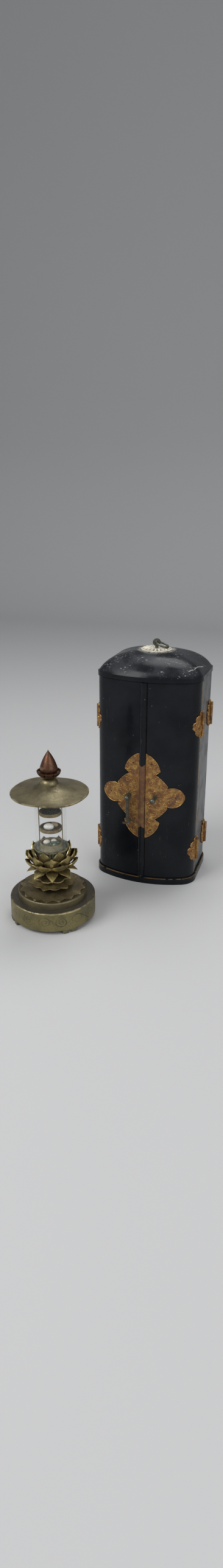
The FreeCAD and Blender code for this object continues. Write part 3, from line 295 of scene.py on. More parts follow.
def drumPaint(name):
    # sides with an engraved vine of curls, brown top, worn edges
    look = drumLook
    paint = Paint(name)
    r, turn, z = standPlace(paint)
    side = paint.ramp(r, *look["wall"]) * paint.ramp(z, *look["sideLow"])
    side = side * (1 - paint.ramp(z, *look["sideHigh"]))
    pitch = math.tau / look["curls"]
    drift = paint.noise(5 * mm, 2) * mm - 0.5 * mm
    flip = ((turn / pitch) % 2 > 1) * 2 - 1
    across = (turn % pitch - pitch / 2) * look["radius"] + drift
    up = (z - look["middle"] + drift) * flip
    out = paint.reach(across, up)
    curl = abs((out / look["curlPitch"] + paint.angle(across, up) / math.tau) % 1 - 0.5)
    fade = 1 - paint.ramp(out, look["curlReach"] - mm, look["curlReach"])
    curl = (1 - paint.ramp(curl, 0.05, 0.12)) * fade
    stem = abs(z - look["middle"] - paint.sine(turn * (look["curls"] / 2)) * look["swing"] + drift)
    stem = 1 - paint.ramp(stem, 0.15 * mm, 0.4 * mm)
    groove = paint.most(curl, stem) * side * paint.ramp(paint.noise(13 * mm, 2), 0.32, 0.56)
    top = paint.ramp(z, *look["topLevel"])
    edge = paint.ramp(r, *look["edgeReach"]) * paint.ramp(z, *look["edgeLevel"])
    cloud = paint.noise(look["cloud"], 4, 0.6)
    grain = paint.noise(look["grain"], 5, 0.65)
    colour = paint.mix(paint.ramp(cloud, 0.35, 0.68), look["base"], look["second"])
    colour = paint.mix(top * 0.8, colour, look["top"])
    colour = paint.mix(groove * 0.6, colour, look["dark"])
    colour = paint.mix(paint.ramp(grain, 0.52, 0.75) * 0.5, colour, look["dark"])
    worn = paint.ramp(paint.noise(5 * mm, 4), 0.4, 0.62)
    colour = paint.mix(edge * worn * 0.35, colour, look["bright"])
    rough = paint.ramp(grain, 0.3, 0.8) * 0.3 + 0.32
    return paint.finish(Base_Color=colour, Metallic=0.8, Roughness=rough,
                        Normal=paint.bump(grain * 0.25 - groove, 0.00025))


skirtLook = {
    "base": (0.23, 0.183, 0.098), "second": (0.135, 0.11, 0.066), "dark": (0.035, 0.028, 0.018),
    "bright": (0.62, 0.5, 0.26), "cloud": 10 * mm, "grain": 1.4 * mm, "dirt_and_painted_shade": 0.5,
    "rough": 0.32, "roughSpan": 0.3, "metal": 0.85}
podLook = {
    "base": (0.17, 0.165, 0.1), "second": (0.11, 0.105, 0.07), "dark": (0.035, 0.032, 0.024),
    "bright": (0.42, 0.38, 0.26), "cloud": 8 * mm, "grain": 1.1 * mm, "dirt_and_painted_shade": 0.7,
    "rough": 0.42, "roughSpan": 0.3, "metal": 0.7}
canopyLook = {
    "base": (0.205, 0.18, 0.105), "second": (0.135, 0.113, 0.066), "dark": (0.045, 0.034, 0.02),
    "bright": (0.42, 0.35, 0.19), "cloud": 16 * mm, "grain": 1.5 * mm, "dirt_and_painted_shade": 0.5,
    "rough": 0.36, "roughSpan": 0.28, "metal": 0.82}
copperLook = {
    "base": (0.13, 0.06, 0.035), "second": (0.075, 0.04, 0.026), "dark": (0.02, 0.013, 0.01),
    "bright": (0.42, 0.24, 0.13), "cloud": 9 * mm, "grain": 1.2 * mm, "dirt_and_painted_shade": 0.5,
    "rough": 0.3, "roughSpan": 0.3, "metal": 0.85}
rackLook = {
    "base": (0.26, 0.185, 0.075), "second": (0.15, 0.11, 0.05), "dark": (0.045, 0.035, 0.02),
    "bright": (0.5, 0.42, 0.28), "cloud": 6 * mm, "grain": 0.9 * mm, "dirt_and_painted_shade": 0.5,
    "rough": 0.45, "roughSpan": 0.25, "metal": 0.7}
underLook = dict(podLook, base=(0.21, 0.18, 0.08), second=(0.115, 0.125, 0.06), cloud=16 * mm)
cupLook = dict(rackLook, base=(0.33, 0.27, 0.14), second=(0.2, 0.16, 0.08), metal=0.35, rough=0.55)
capLook = dict(canopyLook, base=(0.25, 0.21, 0.11), second=(0.16, 0.135, 0.075))
bronzeLook = {
    "base": (0.13, 0.135, 0.11), "second": (0.085, 0.085, 0.07), "dark": (0.025, 0.025, 0.022),
    "bright": (0.4, 0.36, 0.25), "cloud": 3 * mm, "grain": 0.5 * mm, "dirt_and_painted_shade": 0.5,
    "rough": 0.34, "roughSpan": 0.3, "metal": 0.85}
rosetteLook = {
    "base": (0.62, 0.59, 0.5), "second": (0.45, 0.42, 0.34), "dark": (0.12, 0.1, 0.075),
    "bright": (0.78, 0.75, 0.66), "cloud": 4 * mm, "grain": 0.6 * mm, "dirt_and_painted_shade": 0.45,
    "rough": 0.55, "roughSpan": 0.25, "metal": 0.3}


pod = {"flutes": 32, "lip": (76 * mm, 76.7 * mm), "foot": (13 * mm, 14.5 * mm)}


def podPaint(name):
    # fluted side: painted shade in the hollows, and ridges with rubbed wear and painted highlight
    paint = Paint(name)
    r, turn, z = standPlace(paint)
    # painted shade: the flutes' hollows are painted dark, with a matching bump
    shaded_hollow = paint.ramp(paint.sine(turn * pod["flutes"] + math.pi / 2), 0.0, 0.8)
    shaded_hollow = shaded_hollow * (1 - paint.ramp(z, *pod["lip"])) * paint.ramp(r, *pod["foot"])
    # bright spots on the ridges: rubbed wear and painted highlight
    ridge_wear_and_highlight = paint.ramp(paint.noise(3 * mm, 4), 0.46, 0.64) * (1 - shaded_hollow)
    return agedMetal(paint, podLook, shaded_hollow * 0.9, ridge_wear_and_highlight * 0.7, 0.6 - shaded_hollow, 0.0004)


stepLook = dict(canopyLook, base=(0.2, 0.17, 0.095), second=(0.13, 0.11, 0.066),
                topLevel=(30.2 * mm, 30.9 * mm), edgeReach=(34.2 * mm, 35.2 * mm),
                edgeLevel=(29.2 * mm, 30.4 * mm))


def stepPaint(name):
    # olive side; the top, which lies under the lotus skirt, is painted darker as shade
    paint = Paint(name)
    r, z = standPlace(paint)[::2]
    # painted shade: the top under the skirt is darker
    top = paint.ramp(z, *stepLook["topLevel"])
    edge = paint.ramp(r, *stepLook["edgeReach"]) * paint.ramp(z, *stepLook["edgeLevel"])
    worn = paint.ramp(paint.noise(4 * mm, 4), 0.42, 0.62)
    return agedMetal(paint, stepLook, top * 0.6, edge * worn * 0.15)


giltLook = {"gold": (0.62, 0.38, 0.11), "copper": (0.29, 0.135, 0.055), "brown": (0.17, 0.08, 0.038),
            "ground": (0.11, 0.055, 0.026), "purple": (0.13, 0.072, 0.055), "rings": 0.7 * mm,
            "lineGold": (0.66, 0.42, 0.14), "lineCopper": (0.3, 0.15, 0.06)}


def giltPaint(name, tarnish=0.0):
    # gilt copper: a ground of tiny rings, brown and purple where the gilding is worn
    paint = Paint(name)
    roe = paint.ramp(paint.cells(giltLook["rings"]), 0.2, 0.55)
    cloud = paint.noise(7 * mm, 5, 0.65)
    grain = paint.noise(1.1 * mm, 4, 0.6)
    colour = paint.mix(paint.ramp(cloud, 0.36, 0.58), giltLook["gold"], giltLook["copper"])
    colour = paint.mix(paint.ramp(grain, 0.5, 0.7) * 0.5, colour, giltLook["brown"])
    colour = paint.mix(roe * 0.45, colour, giltLook["ground"])
    stain = paint.most(paint.ramp(paint.noise(12 * mm, 4, 0.6), 0.51, 0.66) * 0.7, tarnish)
    colour = paint.mix(stain, colour, giltLook["purple"])
    height = (1 - roe) * 0.5 + grain * 0.3
    rough = paint.ramp(cloud, 0.3, 0.7) * 0.2 + 0.3 + stain * 0.12
    return paint.finish(Base_Color=colour, Metallic=0.85, Roughness=rough,
                        Normal=paint.bump(height, 0.00022))


def rimPaint(name):
    # raised lines of the fittings, rubbed brighter than their ground
    paint = Paint(name)
    worn = paint.noise(3 * mm, 4, 0.6)
    colour = paint.mix(paint.ramp(worn, 0.36, 0.62), giltLook["lineGold"], giltLook["lineCopper"])
    return paint.finish(Base_Color=colour, Metallic=0.9, Roughness=worn * 0.25 + 0.2)


case = {"halfWidth": 56, "cornerX": 38, "cornerY": 23, "cornerRadius": 18, "bowRadius": 112.25,
        "bowCentre": 63.25, "skin": 0.3}  # in millimetres, with the lacquer's own thickness


def wallDepth(paint, x, y):
    # how far a point lies inside the case's outer surface
    ax, ay = abs(x), abs(y)
    side = case["halfWidth"] * mm - ax
    bow = case["bowRadius"] * mm - paint.reach(x, ay + case["bowCentre"] * mm)
    corner = case["cornerRadius"] * mm - paint.reach(ax - case["cornerX"] * mm, ay - case["cornerY"] * mm)
    inCorner = (ax > case["cornerX"] * mm) * (ay > case["cornerY"] * mm)
    flat = paint.least(side, bow)
    return paint.most(paint.least(flat, corner), -0.01) * inCorner + flat * (1 - inCorner)


roofCracks = [((47.5, -30), 80, 27), ((47.5, -30), 230, 8)]  # start, direction and length of each crack


def crackMask(paint, spot, turn, length):
    # a thin straight crack seen from above
    place = paint.moved((-spot[0] * mm, -spot[1] * mm, 0))
    x, y = paint.split(paint.add("ShaderNodeVectorRotate", {"rotation_type": "Z_AXIS"}, {
        "Vector": place, "Angle": -math.radians(turn)}))[:2]
    wander = paint.noise(5 * mm, 3) * 1.6 * mm - 0.8 * mm
    inLength = paint.ramp(x, 0, 1.5 * mm) * (1 - paint.ramp(x, (length - 2) * mm, length * mm))
    return (1 - paint.ramp(abs(y + wander), 0.2 * mm, 0.45 * mm)) * inLength


lacquerLook = {
    "black": (0.004, 0.005, 0.007), "worn": (0.009, 0.0105, 0.013), "scratch": (0.2, 0.2, 0.2),
    "speck": (0.5, 0.5, 0.48), "haze": (0.15, 0.16, 0.18), "scuff": (0.36, 0.36, 0.35),
    "halo": (0.42, 0.4, 0.33), "crack": (0.42, 0.41, 0.38), "bronze": (0.32, 0.21, 0.09),
    "ground": (0.68, 0.67, 0.64), "leaf": (0.62, 0.4, 0.13), "deepLeaf": (0.42, 0.25, 0.075),
    "leafSpot": (0.12, 0.06, 0.025),
    # levels of the dusty roof, the ledge and the underside, and the reach of the ring of dirt at the rosette
    "roof": (237 * mm, 240 * mm), "ledgeLow": (6.6 * mm, 6.75 * mm), "ledgeHigh": (7.15 * mm, 7.3 * mm),
    "under": (0.2 * mm, 0.5 * mm), "haloInner": (14 * mm, 16 * mm), "haloOuter": (17 * mm, 23 * mm)}


def lacquerPaint(name, gilded, dusty, lined=False):
    # black lacquer with scratches and specks; a gilded panel is gold leaf inside and on its edges
    look = lacquerLook
    paint = Paint(name)
    x, y, z = paint.split()
    tint = paint.noise(40 * mm, 3)
    colour = paint.mix(paint.ramp(tint, 0.3, 0.7), look["black"], look["worn"])
    scratch = paint.noise(1.0, 2, 0.5, paint.moved((0, 0, 0), (1400, 1400, 45), (0.12, 0.07, 0)))
    scratch = paint.ramp(scratch, 0.69, 0.74) * paint.ramp(paint.noise(22 * mm, 2), 0.5, 0.62)
    specks = 1 - paint.ramp(paint.cells(5.5 * mm), 0.03, 0.055)
    specks = specks * paint.ramp(paint.noise(30 * mm, 2), 0.5, 0.6)
    colour = paint.mix(scratch * 0.35, colour, look["scratch"])
    colour = paint.mix(specks * 0.8, colour, look["speck"])
    rough = paint.ramp(paint.noise(15 * mm, 4), 0.3, 0.75) * 0.16 + 0.14 + scratch * 0.2
    height = paint.noise(6 * mm, 2) * 0.5 - scratch * 0.15
    metal = 0.0
    if dusty:
        high = paint.ramp(z, *look["roof"])
        haze = paint.ramp(paint.noise(24 * mm, 6, 0.6), 0.36, 0.74) * high
        scuff = paint.noise(1.0, 6, 0.72, paint.moved((0, 0, 0), (330, 620, 620), (0, 0, 0.2)), 0.4)
        scuff = paint.ramp(scuff, 0.56, 0.66) * paint.ramp(paint.noise(15 * mm, 3), 0.43, 0.6) * high
        colour = paint.mix(haze * 0.13, colour, look["haze"])
        colour = paint.mix(scuff * 0.75, colour, look["scuff"])
        halo = paint.reach(x, y)
        halo = paint.ramp(halo, *look["haloInner"]) * (1 - paint.ramp(halo, *look["haloOuter"]))
        halo = halo * paint.ramp(paint.noise(3 * mm, 5, 0.7), 0.36, 0.6) * high
        colour = paint.mix(halo * 0.6, colour, look["halo"])
        for spot, turn, length in roofCracks:
            colour = paint.mix(crackMask(paint, spot, turn, length) * 0.6, colour, look["crack"])
        rough = rough + haze * 0.2 + scuff * 0.2 + halo * 0.3
    if lined:
        # a thin bronze line where the lacquer is rubbed off the ledge
        ledge = paint.ramp(z, *look["ledgeLow"]) * (1 - paint.ramp(z, *look["ledgeHigh"]))
        ledge = ledge * paint.ramp(paint.noise(6 * mm, 4), 0.36, 0.5)
        colour = paint.mix(ledge * 0.8, colour, look["bronze"])
        metal = ledge * 0.6
        # white ground showing where the lacquer has come off the underside
        bare = paint.ramp(paint.noise(30 * mm, 5, 0.6), 0.57, 0.585)
        bare = bare * (1 - paint.ramp(z, *look["under"]))
        colour = paint.mix(bare, colour, look["ground"])
        rough = rough + bare * 0.4
    if gilded:
        depth = wallDepth(paint, x, y)
        wear = paint.noise(4 * mm, 5, 0.7) * 1.2 * mm
        gold = paint.ramp(depth - wear * 0.6, (case["skin"] - 0.05) * mm, (case["skin"] + 0.1) * mm)
        cloud = paint.noise(12 * mm, 5, 0.65)
        leafTone = paint.mix(paint.ramp(cloud, 0.3, 0.7), look["leaf"], look["deepLeaf"])
        leafSpots = paint.ramp(paint.noise(3 * mm, 5, 0.7), 0.62, 0.72) * 0.6
        leafTone = paint.mix(leafSpots, leafTone, look["leafSpot"])
        # gold shows again where the lacquer is rubbed off along the front hinge seams
        seam = 1 - paint.ramp(abs(y + case["cornerY"] * mm), 0.5 * mm, 1.0 * mm)
        seam = seam * (abs(x) > case["cornerX"] * mm) * paint.ramp(paint.noise(9 * mm, 4), 0.36, 0.5)
        gold = paint.most(gold, seam * 0.85)
        colour = paint.mix(gold, colour, leafTone)
        metal = gold * 0.75
        rough = rough * (1 - gold) + gold * (paint.ramp(cloud, 0.3, 0.8) * 0.2 + 0.32)
    return paint.finish(Base_Color=colour, Metallic=metal, Roughness=rough,
                        Normal=paint.bump(height, 0.00012), Specular_IOR_Level=0.15)


glassCracks = [
    # where each crack leaves the tube's top and where it ends, as turns round the tube, and how far it falls
    {"start": -110, "end": -182, "fall": 13.5 * mm, "curve": 1.0},
    {"start": -81, "end": 2, "fall": 22 * mm, "curve": 1.5}]


glassLook = {"clear": (0.8, 0.9, 0.85), "dust": (0.4, 0.33, 0.22), "crack": (0.95, 0.97, 0.96),
             "top": 136 * mm, "rim": (136.4 * mm, 137 * mm), "dustLevel": (77 * mm, 84 * mm)}


def glassPaint(name):
    # old clear glass: stronger at the rims, two cracks from its top, beige dust at its foot
    paint = Paint(name)
    look = glassLook
    turn, z = standPlace(paint)[1:]
    facing = paint.add("ShaderNodeLayerWeight", None, {"Blend": 0.3}, "Facing")
    wander = paint.noise(6 * mm, 3, 0.6) * 1.6 * mm - 0.8 * mm
    crack = 0.0
    for line in glassCracks:
        run = math.radians(line["end"] - line["start"])
        share = (turn - math.radians(line["start"])) / run
        fall = paint.most(share, 0.0) ** line["curve"] * line["fall"]
        off = abs(z - look["top"] + fall + wander)
        seen = (share > 0) * (share < 1)
        crack = paint.most(crack, (1 - paint.ramp(off, 0.2 * mm, 0.4 * mm)) * seen)
    dust = (1 - paint.ramp(z, *look["dustLevel"])) * paint.ramp(paint.noise(2.5 * mm, 5, 0.7), 0.3, 0.75)
    rim = paint.ramp(z, *look["rim"]) * 0.25
    colour = paint.mix(dust, look["clear"], look["dust"])
    colour = paint.mix(crack, colour, look["crack"])
    alpha = facing ** 3 * 0.45 + 0.025 + crack * 0.6 + dust * 0.3 + rim
    return paint.finish(Base_Color=colour, Metallic=0.0, Roughness=paint.noise(14 * mm, 3) * 0.08 + 0.02,
                        Alpha=paint.least(alpha, 1.0), IOR=1.5, Specular_IOR_Level=0.8)


stoneLook = {"milky": (0.8, 0.79, 0.75), "brown": (0.36, 0.26, 0.16), "beige": (0.66, 0.57, 0.47),
             "vein": (0.5, 0.4, 0.3),
             # between the cup and the tray, behind the tray's middle and left of the cup's middle
             "tray": (92 * mm, 95 * mm), "behind": (-137.4 * mm, -136.8 * mm), "left": (-72 * mm, -71 * mm)}


def stonePaint(name):
    # milky pebbles, a brown one behind on the tray and a beige one at the left of the cup
    look = stoneLook
    paint = Paint(name)
    x, y, z = paint.split()
    tray = paint.ramp(z, *look["tray"])
    brown = paint.ramp(y, *look["behind"]) * tray
    beige = (1 - paint.ramp(x, *look["left"])) * (1 - tray)
    colour = paint.mix(brown, look["milky"], look["brown"])
    colour = paint.mix(beige * 0.75, colour, look["beige"])
    veins = paint.ramp(paint.noise(1.8 * mm, 4, 0.6, swirl=1.5), 0.56, 0.72)
    colour = paint.mix(veins * 0.25, colour, look["vein"])
    return paint.finish(Base_Color=colour, Roughness=paint.noise(2 * mm, 3) * 0.3 + 0.2,
                        Subsurface_Weight=0.15, Subsurface_Radius=(0.002, 0.0018, 0.0015),
                        Normal=paint.bump(paint.noise(1 * mm, 4), 0.0002))


def grainPaint(name, low, high):
    # dull grains of two tones
    paint = Paint(name)
    mottle = paint.noise(0.9 * mm, 4)
    colour = paint.mix(paint.ramp(mottle, 0.35, 0.65), low, high)
    return paint.finish(Base_Color=colour, Roughness=0.85, Normal=paint.bump(mottle, 0.0002))


def paintNodes(names, material):
    for name in names:
        shape = nodes[name].data
        shape.materials.clear()
        shape.materials.append(material)


gilt = [name for name in nodes if "hinge" in name or "nails" in name or "lock_plate" in name]
goldPanels = ["back_panel", "left_side_leaf", "right_side_leaf", "left_front_leaf", "right_front_leaf"]
sheets = {
    # finish, look, how many rays, their inner and outer reach in millimetres, and how dark they are
    "drooping_petals": ("droopBrass", petalLook, 88, 10, 26, 0.6),
    "bead_plate": ("beadPlateBrass", skirtLook, 48, 9, 19.6, 0.3),
    "lotus_flare": ("flareBrass", petalLook, 96, 8, 25, 0.6),
    "lotus_skirt": ("skirtBrass", skirtLook, 112, 9, 34, 0.4)}
for name, ring in petalRings.items():
    paintNodes([name], petalPaint(name + "Brass", ring))
for name, sheet in sheets.items():
    paintNodes([name], veinPaint(*sheet))
paintNodes(["drum"], drumPaint("drumBronze"))
paintNodes(["step"], stepPaint("stepBronze"))
paintNodes(["bottom_plate"], plainPaint("underBronze", underLook))
paintNodes(["feet"], plainPaint("feetBronze", podLook))
paintNodes(["lower_spacer", "upper_spacer", "tie_rod", "rod_nut"], plainPaint("spacerBrass", petalLook, 0.2))
paintNodes(["seed_pod"], podPaint("podBronze"))
paintNodes(["glass_tube"], glassPaint("oldGlass"))
paintNodes(["lower_tray", "upper_tray", "uprights", "collar"], plainPaint("rackMetal", rackLook, 0.1))
paintNodes(["relic_cup"], plainPaint("cupMetal", cupLook, 0.1))
hatBronze = hatPaint("canopyBronze", canopyLook, 39)  # the brim's reach in millimetres
paintNodes(["canopy", "canopy_plug"], hatBronze)
paintNodes(["cap"], plainPaint("capBrass", capLook, 0.04))
paintNodes(["finial_cup", "jewel"], plainPaint("redCopper", copperLook, 0.15))
paintNodes(gilt, giltPaint("giltCopper"))
paintNodes(["strip_lock_plate"], giltPaint("stripGilt", 0.6))
paintNodes(["hook", "hook_post", "catch_post", "eye_post", "ring"], plainPaint("darkBronze", bronzeLook))
paintNodes(["rosette"], plainPaint("paleRosette", rosetteLook))
paintNodes(goldPanels, lacquerPaint("leafLacquer", True, False))
paintNodes(["roof"], lacquerPaint("roofLacquer", False, True))
paintNodes(["case_base"], lacquerPaint("baseLacquer", False, False, True))
paintNodes(["door_strip"], lacquerPaint("stripLacquer", False, False))
paintNodes(["floor_board"], lacquerPaint("boardLacquer", True, False))
paintNodes(["stones"], stonePaint("milkyStone"))
print("materials on the solids done")


def newPiece(name, shape, body, material):
    mesh = bpy.data.meshes.new(name)
    shape.to_mesh(mesh)
    shape.free()
    mesh.materials.append(material)
    for face in mesh.polygons:
        face.use_smooth = True
    piece = bpy.data.objects.new(name, mesh)
    scene.collection.objects.link(piece)
    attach(piece, body)
    return piece


def solidTree(name):
    return BVHTree.FromPolygons([v.co for v in nodes[name].data.vertices],
                                [tuple(face.vertices) for face in nodes[name].data.polygons])


brim = {"inner": 20 * mm, "outer": 39 * mm,
        # how many swells go round the brim, how high they are and where they start
        "swells": [(3, 0.45 * mm, 0.6), (5, 0.3 * mm, 2.1)]}


def beatenCanopy():
    # the canopy as an uneven beaten sheet, with its brim gently rising and falling
    shape = bmesh.new()
    shape.from_mesh(nodes["canopy"].data)
    for v in shape.verts:
        x, y = v.co.x - standX, v.co.y - standY
        share = max(math.hypot(x, y) - brim["inner"], 0) / (brim["outer"] - brim["inner"])
        turn = math.atan2(y, x)
        swell = sum(high * math.sin(count * turn + start) for count, high, start in brim["swells"])
        v.co.z += share * share * swell
    piece = newPiece("canopy_sheet", shape, "canopy", hatBronze)
    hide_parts("canopy")


beatenCanopy()
rosette = {"petals": 20, "middle": 11.2 * mm, "length": 4.4 * mm, "wide": 1.15 * mm, "rise": 0.9 * mm,
           "sunk": 0.1 * mm, "foot": 0.3 * mm}


def rosettePetals():
    # raised petals between the slots of the roof's rosette
    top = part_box("rosette")[1].z
    shape = bmesh.new()
    pitch = math.tau / rosette["petals"]
    for number in range(rosette["petals"]):
        turn = (number + 0.5) * pitch
        spot = Matrix.Translation((rosette["middle"], 0, top - rosette["sunk"]))
        place = Matrix.Rotation(turn, 4, "Z") @ spot
        place = place @ Matrix.Diagonal((rosette["length"], rosette["wide"], rosette["rise"], 1))
        made = bmesh.ops.create_uvsphere(shape, u_segments=16, v_segments=10, radius=1, matrix=place)
        for v in made["verts"]:
            v.co.z = max(v.co.z, top - rosette["foot"])  # flat below, inside the plate
    newPiece("rosette_petals", shape, "case_carcass", plainPaint("palePetal", rosetteLook))


rosettePetals()
beads = {"count": 116, "size": 0.44 * mm, "reach": 30 * mm, "inset": 0.3 * mm, "drop": 4 * mm,
         "levels": (44.8 * mm, 45.1 * mm, 45.4 * mm, 45.7 * mm)}  # where the edge is looked for


def beadEdge():
    # a row of small beads along the scalloped edge of the plate
    plate = solidTree("bead_plate")
    shape = bmesh.new()
    for number in range(beads["count"]):
        turn = math.tau * number / beads["count"]
        outward = Vector((math.cos(turn), math.sin(turn), 0))
        hits = []
        for level in beads["levels"]:
            start = Vector((standX, standY, level)) + outward * beads["reach"]
            hits.append(plate.ray_cast(start, -outward))
        edge = min((hit for hit in hits if hit[0] is not None), key=lambda hit: hit[3])[0]
        above = edge - outward * beads["inset"] + Vector((0, 0, beads["drop"]))
        place = Matrix.Translation(plate.ray_cast(above, Vector((0, 0, -1)))[0])
        bmesh.ops.create_icosphere(shape, subdivisions=2, radius=beads["size"], matrix=place)
    newPiece("plate_beads", shape, "stand", plainPaint("beadBrass", petalLook))


beadEdge()
podTeeth = {"count": 72, "reach": 17.7 * mm, "level": 77.4 * mm, "size": (0.8 * mm, 0.58 * mm, 1.1 * mm)}
# painted highlight: the teeth take a lighter copy of the pod's metal
toothHighlightLook = dict(podLook, base=(0.3, 0.27, 0.15), second=(0.17, 0.155, 0.09))


def rimTeeth():
    # small teeth round the lip of the seed pod, in a lighter metal as a painted highlight
    shape = bmesh.new()
    for number in range(podTeeth["count"]):
        turn = math.tau * number / podTeeth["count"]
        place = Matrix.Translation((standX, standY, podTeeth["level"])) @ Matrix.Rotation(turn, 4, "Z")
        place = place @ Matrix.Translation((podTeeth["reach"], 0, 0))
        place = place @ Matrix.Diagonal((*podTeeth["size"], 1))
        bmesh.ops.create_uvsphere(shape, u_segments=10, v_segments=8, radius=1, matrix=place)
    newPiece("pod_teeth", shape, "stand", plainPaint("toothBronze", toothHighlightLook))


rimTeeth()
litter = {
    # what lies in each dish: count, spread, grain sizes, the level the grains fall from, the heap's place,
    # height and width, and the two tones
    "cup_grains": {
        "dish": "relic_cup", "count": 460, "spread": 9.3 * mm, "least": 0.3 * mm, "most": 0.75 * mm,
        "drop": 95 * mm, "seed": 4, "heap": (4 * mm, -2 * mm), "high": 4.2 * mm, "wide": 6.5 * mm,
        "finish": "verdigris", "low": (0.05, 0.07, 0.055), "pale": (0.2, 0.25, 0.18)},
    "tray_crust": {
        "dish": "upper_tray", "count": 220, "spread": 9.4 * mm, "least": 0.25 * mm, "most": 0.7 * mm,
        "drop": 130 * mm, "seed": 9, "heap": (1 * mm, 2 * mm), "high": 1.3 * mm, "wide": 8 * mm,
        "finish": "blackCrust", "low": (0.012, 0.016, 0.02), "pale": (0.05, 0.055, 0.06)}}
grain = {"shape": (1.1, 0.85, 0.7), "seat": 0.45, "mostTurn": 3}


def scatter(name, heap):
    # uneven grains lying in a dish, heaped towards one side
    dish = solidTree(heap["dish"])
    dice = random.Random(heap["seed"])
    shape = bmesh.new()
    for _ in range(heap["count"]):
        turn, out = dice.uniform(0, math.tau), heap["spread"] * math.sqrt(dice.random())
        size = dice.uniform(heap["least"], heap["most"])
        x, y = out * math.cos(turn), out * math.sin(turn)
        spot = dish.ray_cast(Vector((standX + x, standY + y, heap["drop"])), Vector((0, 0, -1)))[0]
        if spot is None:
            continue
        off = math.hypot(x - heap["heap"][0], y - heap["heap"][1]) / heap["wide"]
        lift = heap["high"] * math.exp(-off * off) * math.sqrt(dice.random())
        place = Matrix.Translation(spot + Vector((0, 0, lift + size * grain["seat"])))
        place = place @ Matrix.Rotation(dice.uniform(0, grain["mostTurn"]), 4, "Z")
        place = place @ Matrix.Diagonal((*grain["shape"], 1))
        bmesh.ops.create_icosphere(shape, subdivisions=1, radius=size, matrix=place)
    newPiece(name, shape, "stand", grainPaint(heap["finish"], heap["low"], heap["pale"]))


for name, heap in litter.items():
    scatter(name, heap)
print("grains done")


def skinSpot(along):
    # a point on the case's outer wall and the way out of it, along the outline from the front's middle
    bowTurn = math.atan2(case["cornerX"], case["bowCentre"] + case["cornerY"])
    bowRun = case["bowRadius"] * bowTurn
    cornerRun = case["cornerRadius"] * (math.pi / 2 - bowTurn)
    half = bowRun + cornerRun + case["cornerY"]
    run, back = abs(along), False
    if run > half:
        run, back = 2 * half - run, True
    if run < bowRun:
        turn = run / case["bowRadius"]
        x, y = case["bowRadius"] * math.sin(turn), case["bowCentre"] - case["bowRadius"] * math.cos(turn)
    else:
        turn = min(bowTurn + (run - bowRun) / case["cornerRadius"], math.pi / 2)
        x = case["cornerX"] + case["cornerRadius"] * math.sin(turn)
        y = -case["cornerY"] - case["cornerRadius"] * math.cos(turn)
        y += max(run - bowRun - cornerRun, 0)
    side, front = (1 if along > 0 else -1), (-1 if back else 1)
    spot = Vector((side * x * mm, front * y * mm, 0))
    return spot, Vector((side * math.sin(turn), -front * math.cos(turn), 0))


probe = {"start": 12 * mm, "reach": 11.9 * mm, "nearest": 10.9 * mm}


def plateSpot(tree, along, level):
    # the plate's face at a place on the wall, or nothing beside the plate
    wall, out = skinSpot(along)
    start = wall + out * probe["start"] + Vector((0, 0, level * mm))
    spot = tree.ray_cast(start, -out, probe["reach"])[0]
    if spot is None or (spot - start).length < probe["nearest"]:
        return None  # beside the plate, or on a knuckle or a post
    return spot


def wireMesh(name, runs, thick):
    # lines of wire along rows of points, as one mesh
    curve = bpy.data.curves.new(name, "CURVE")
    curve.dimensions, curve.bevel_depth, curve.bevel_resolution = "3D", thick, 1
    for run in runs:
        line = curve.splines.new("POLY")
        line.points.add(len(run) - 1)
        for point, spot in zip(line.points, run):
            point.co = (*spot, 1)
    holder = bpy.data.objects.new(name, curve)
    scene.collection.objects.link(holder)
    bpy.context.view_layer.update()
    mesh = bpy.data.meshes.new_from_object(holder.evaluated_get(bpy.context.evaluated_depsgraph_get()))
    bpy.data.objects.remove(holder)
    shape = bmesh.new()
    shape.from_mesh(mesh)
    bmesh.ops.recalc_face_normals(shape, faces=shape.faces)
    return shape


scrolls = {"margin": 0.8, "turns": 1.3, "points": 26, "wire": 0.2 * mm, "rim": 0.3 * mm, "tail": 1.7,
           # spacing of the rows, how far a curl draws in, how much of it is tail, and the shortest run
           "rowShare": 0.86, "drawIn": 0.86, "tailShare": 0.04, "fewest": 5}


def scrollRuns(tree, span, levels, pitch, size):
    # curled tendrils over a plate, cut where they would leave it
    runs = []
    low, high = span
    margin = scrolls["margin"]
    around = [(0, 0), (margin, 0), (-margin, 0), (0, margin), (0, -margin)]
    rowPitch = pitch * scrolls["rowShare"]
    rows = int((levels[1] - levels[0]) / rowPitch) + 1
    for row in range(rows + 1):
        for number in range(int((high - low) / pitch) + 2):
            middle = low + (number + 0.5 * (row % 2)) * pitch
            level = levels[0] + row * rowPitch
            way = 1 if (number + row) % 2 else -1
            run = []
            for step in range(scrolls["points"]):
                share = step / (scrolls["points"] - 1)
                reach = size * (1 - scrolls["drawIn"] * share)
                reach *= scrolls["tail"] if share < scrolls["tailShare"] else 1
                turn = way * (math.tau * scrolls["turns"] * share + row)
                along, up = middle + reach * math.cos(turn), level + reach * math.sin(turn)
                spots = [plateSpot(tree, along + a, up + b) for a, b in around]
                if None not in spots:
                    run.append(spots[0])
                else:
                    runs.append(run)
                    run = []
            runs.append(run)
    return [run for run in runs if len(run) >= scrolls["fewest"]]


def outside(spot):
    # how far a point lies out of the case's wall
    x, y = abs(spot.x) / mm, abs(spot.y) / mm
    if x > case["cornerX"] and y > case["cornerY"]:
        bowTurn = math.atan2(case["cornerX"], case["bowCentre"] + case["cornerY"])
        turn = math.atan2(x - case["cornerX"], y - case["cornerY"])
        if turn > bowTurn:
            return (math.hypot(x - case["cornerX"], y - case["cornerY"]) - case["cornerRadius"]) * mm
    if y < case["cornerY"]:
        return (x - case["halfWidth"]) * mm
    return (math.hypot(x, y + case["bowCentre"]) - case["bowRadius"]) * mm


rimEdge = {"least": 0.55 * mm, "most": 0.85 * mm, "sharp": 0.9, "weld": 0.002 * mm, "fewest": 7,
           "close": 1.5 * mm}


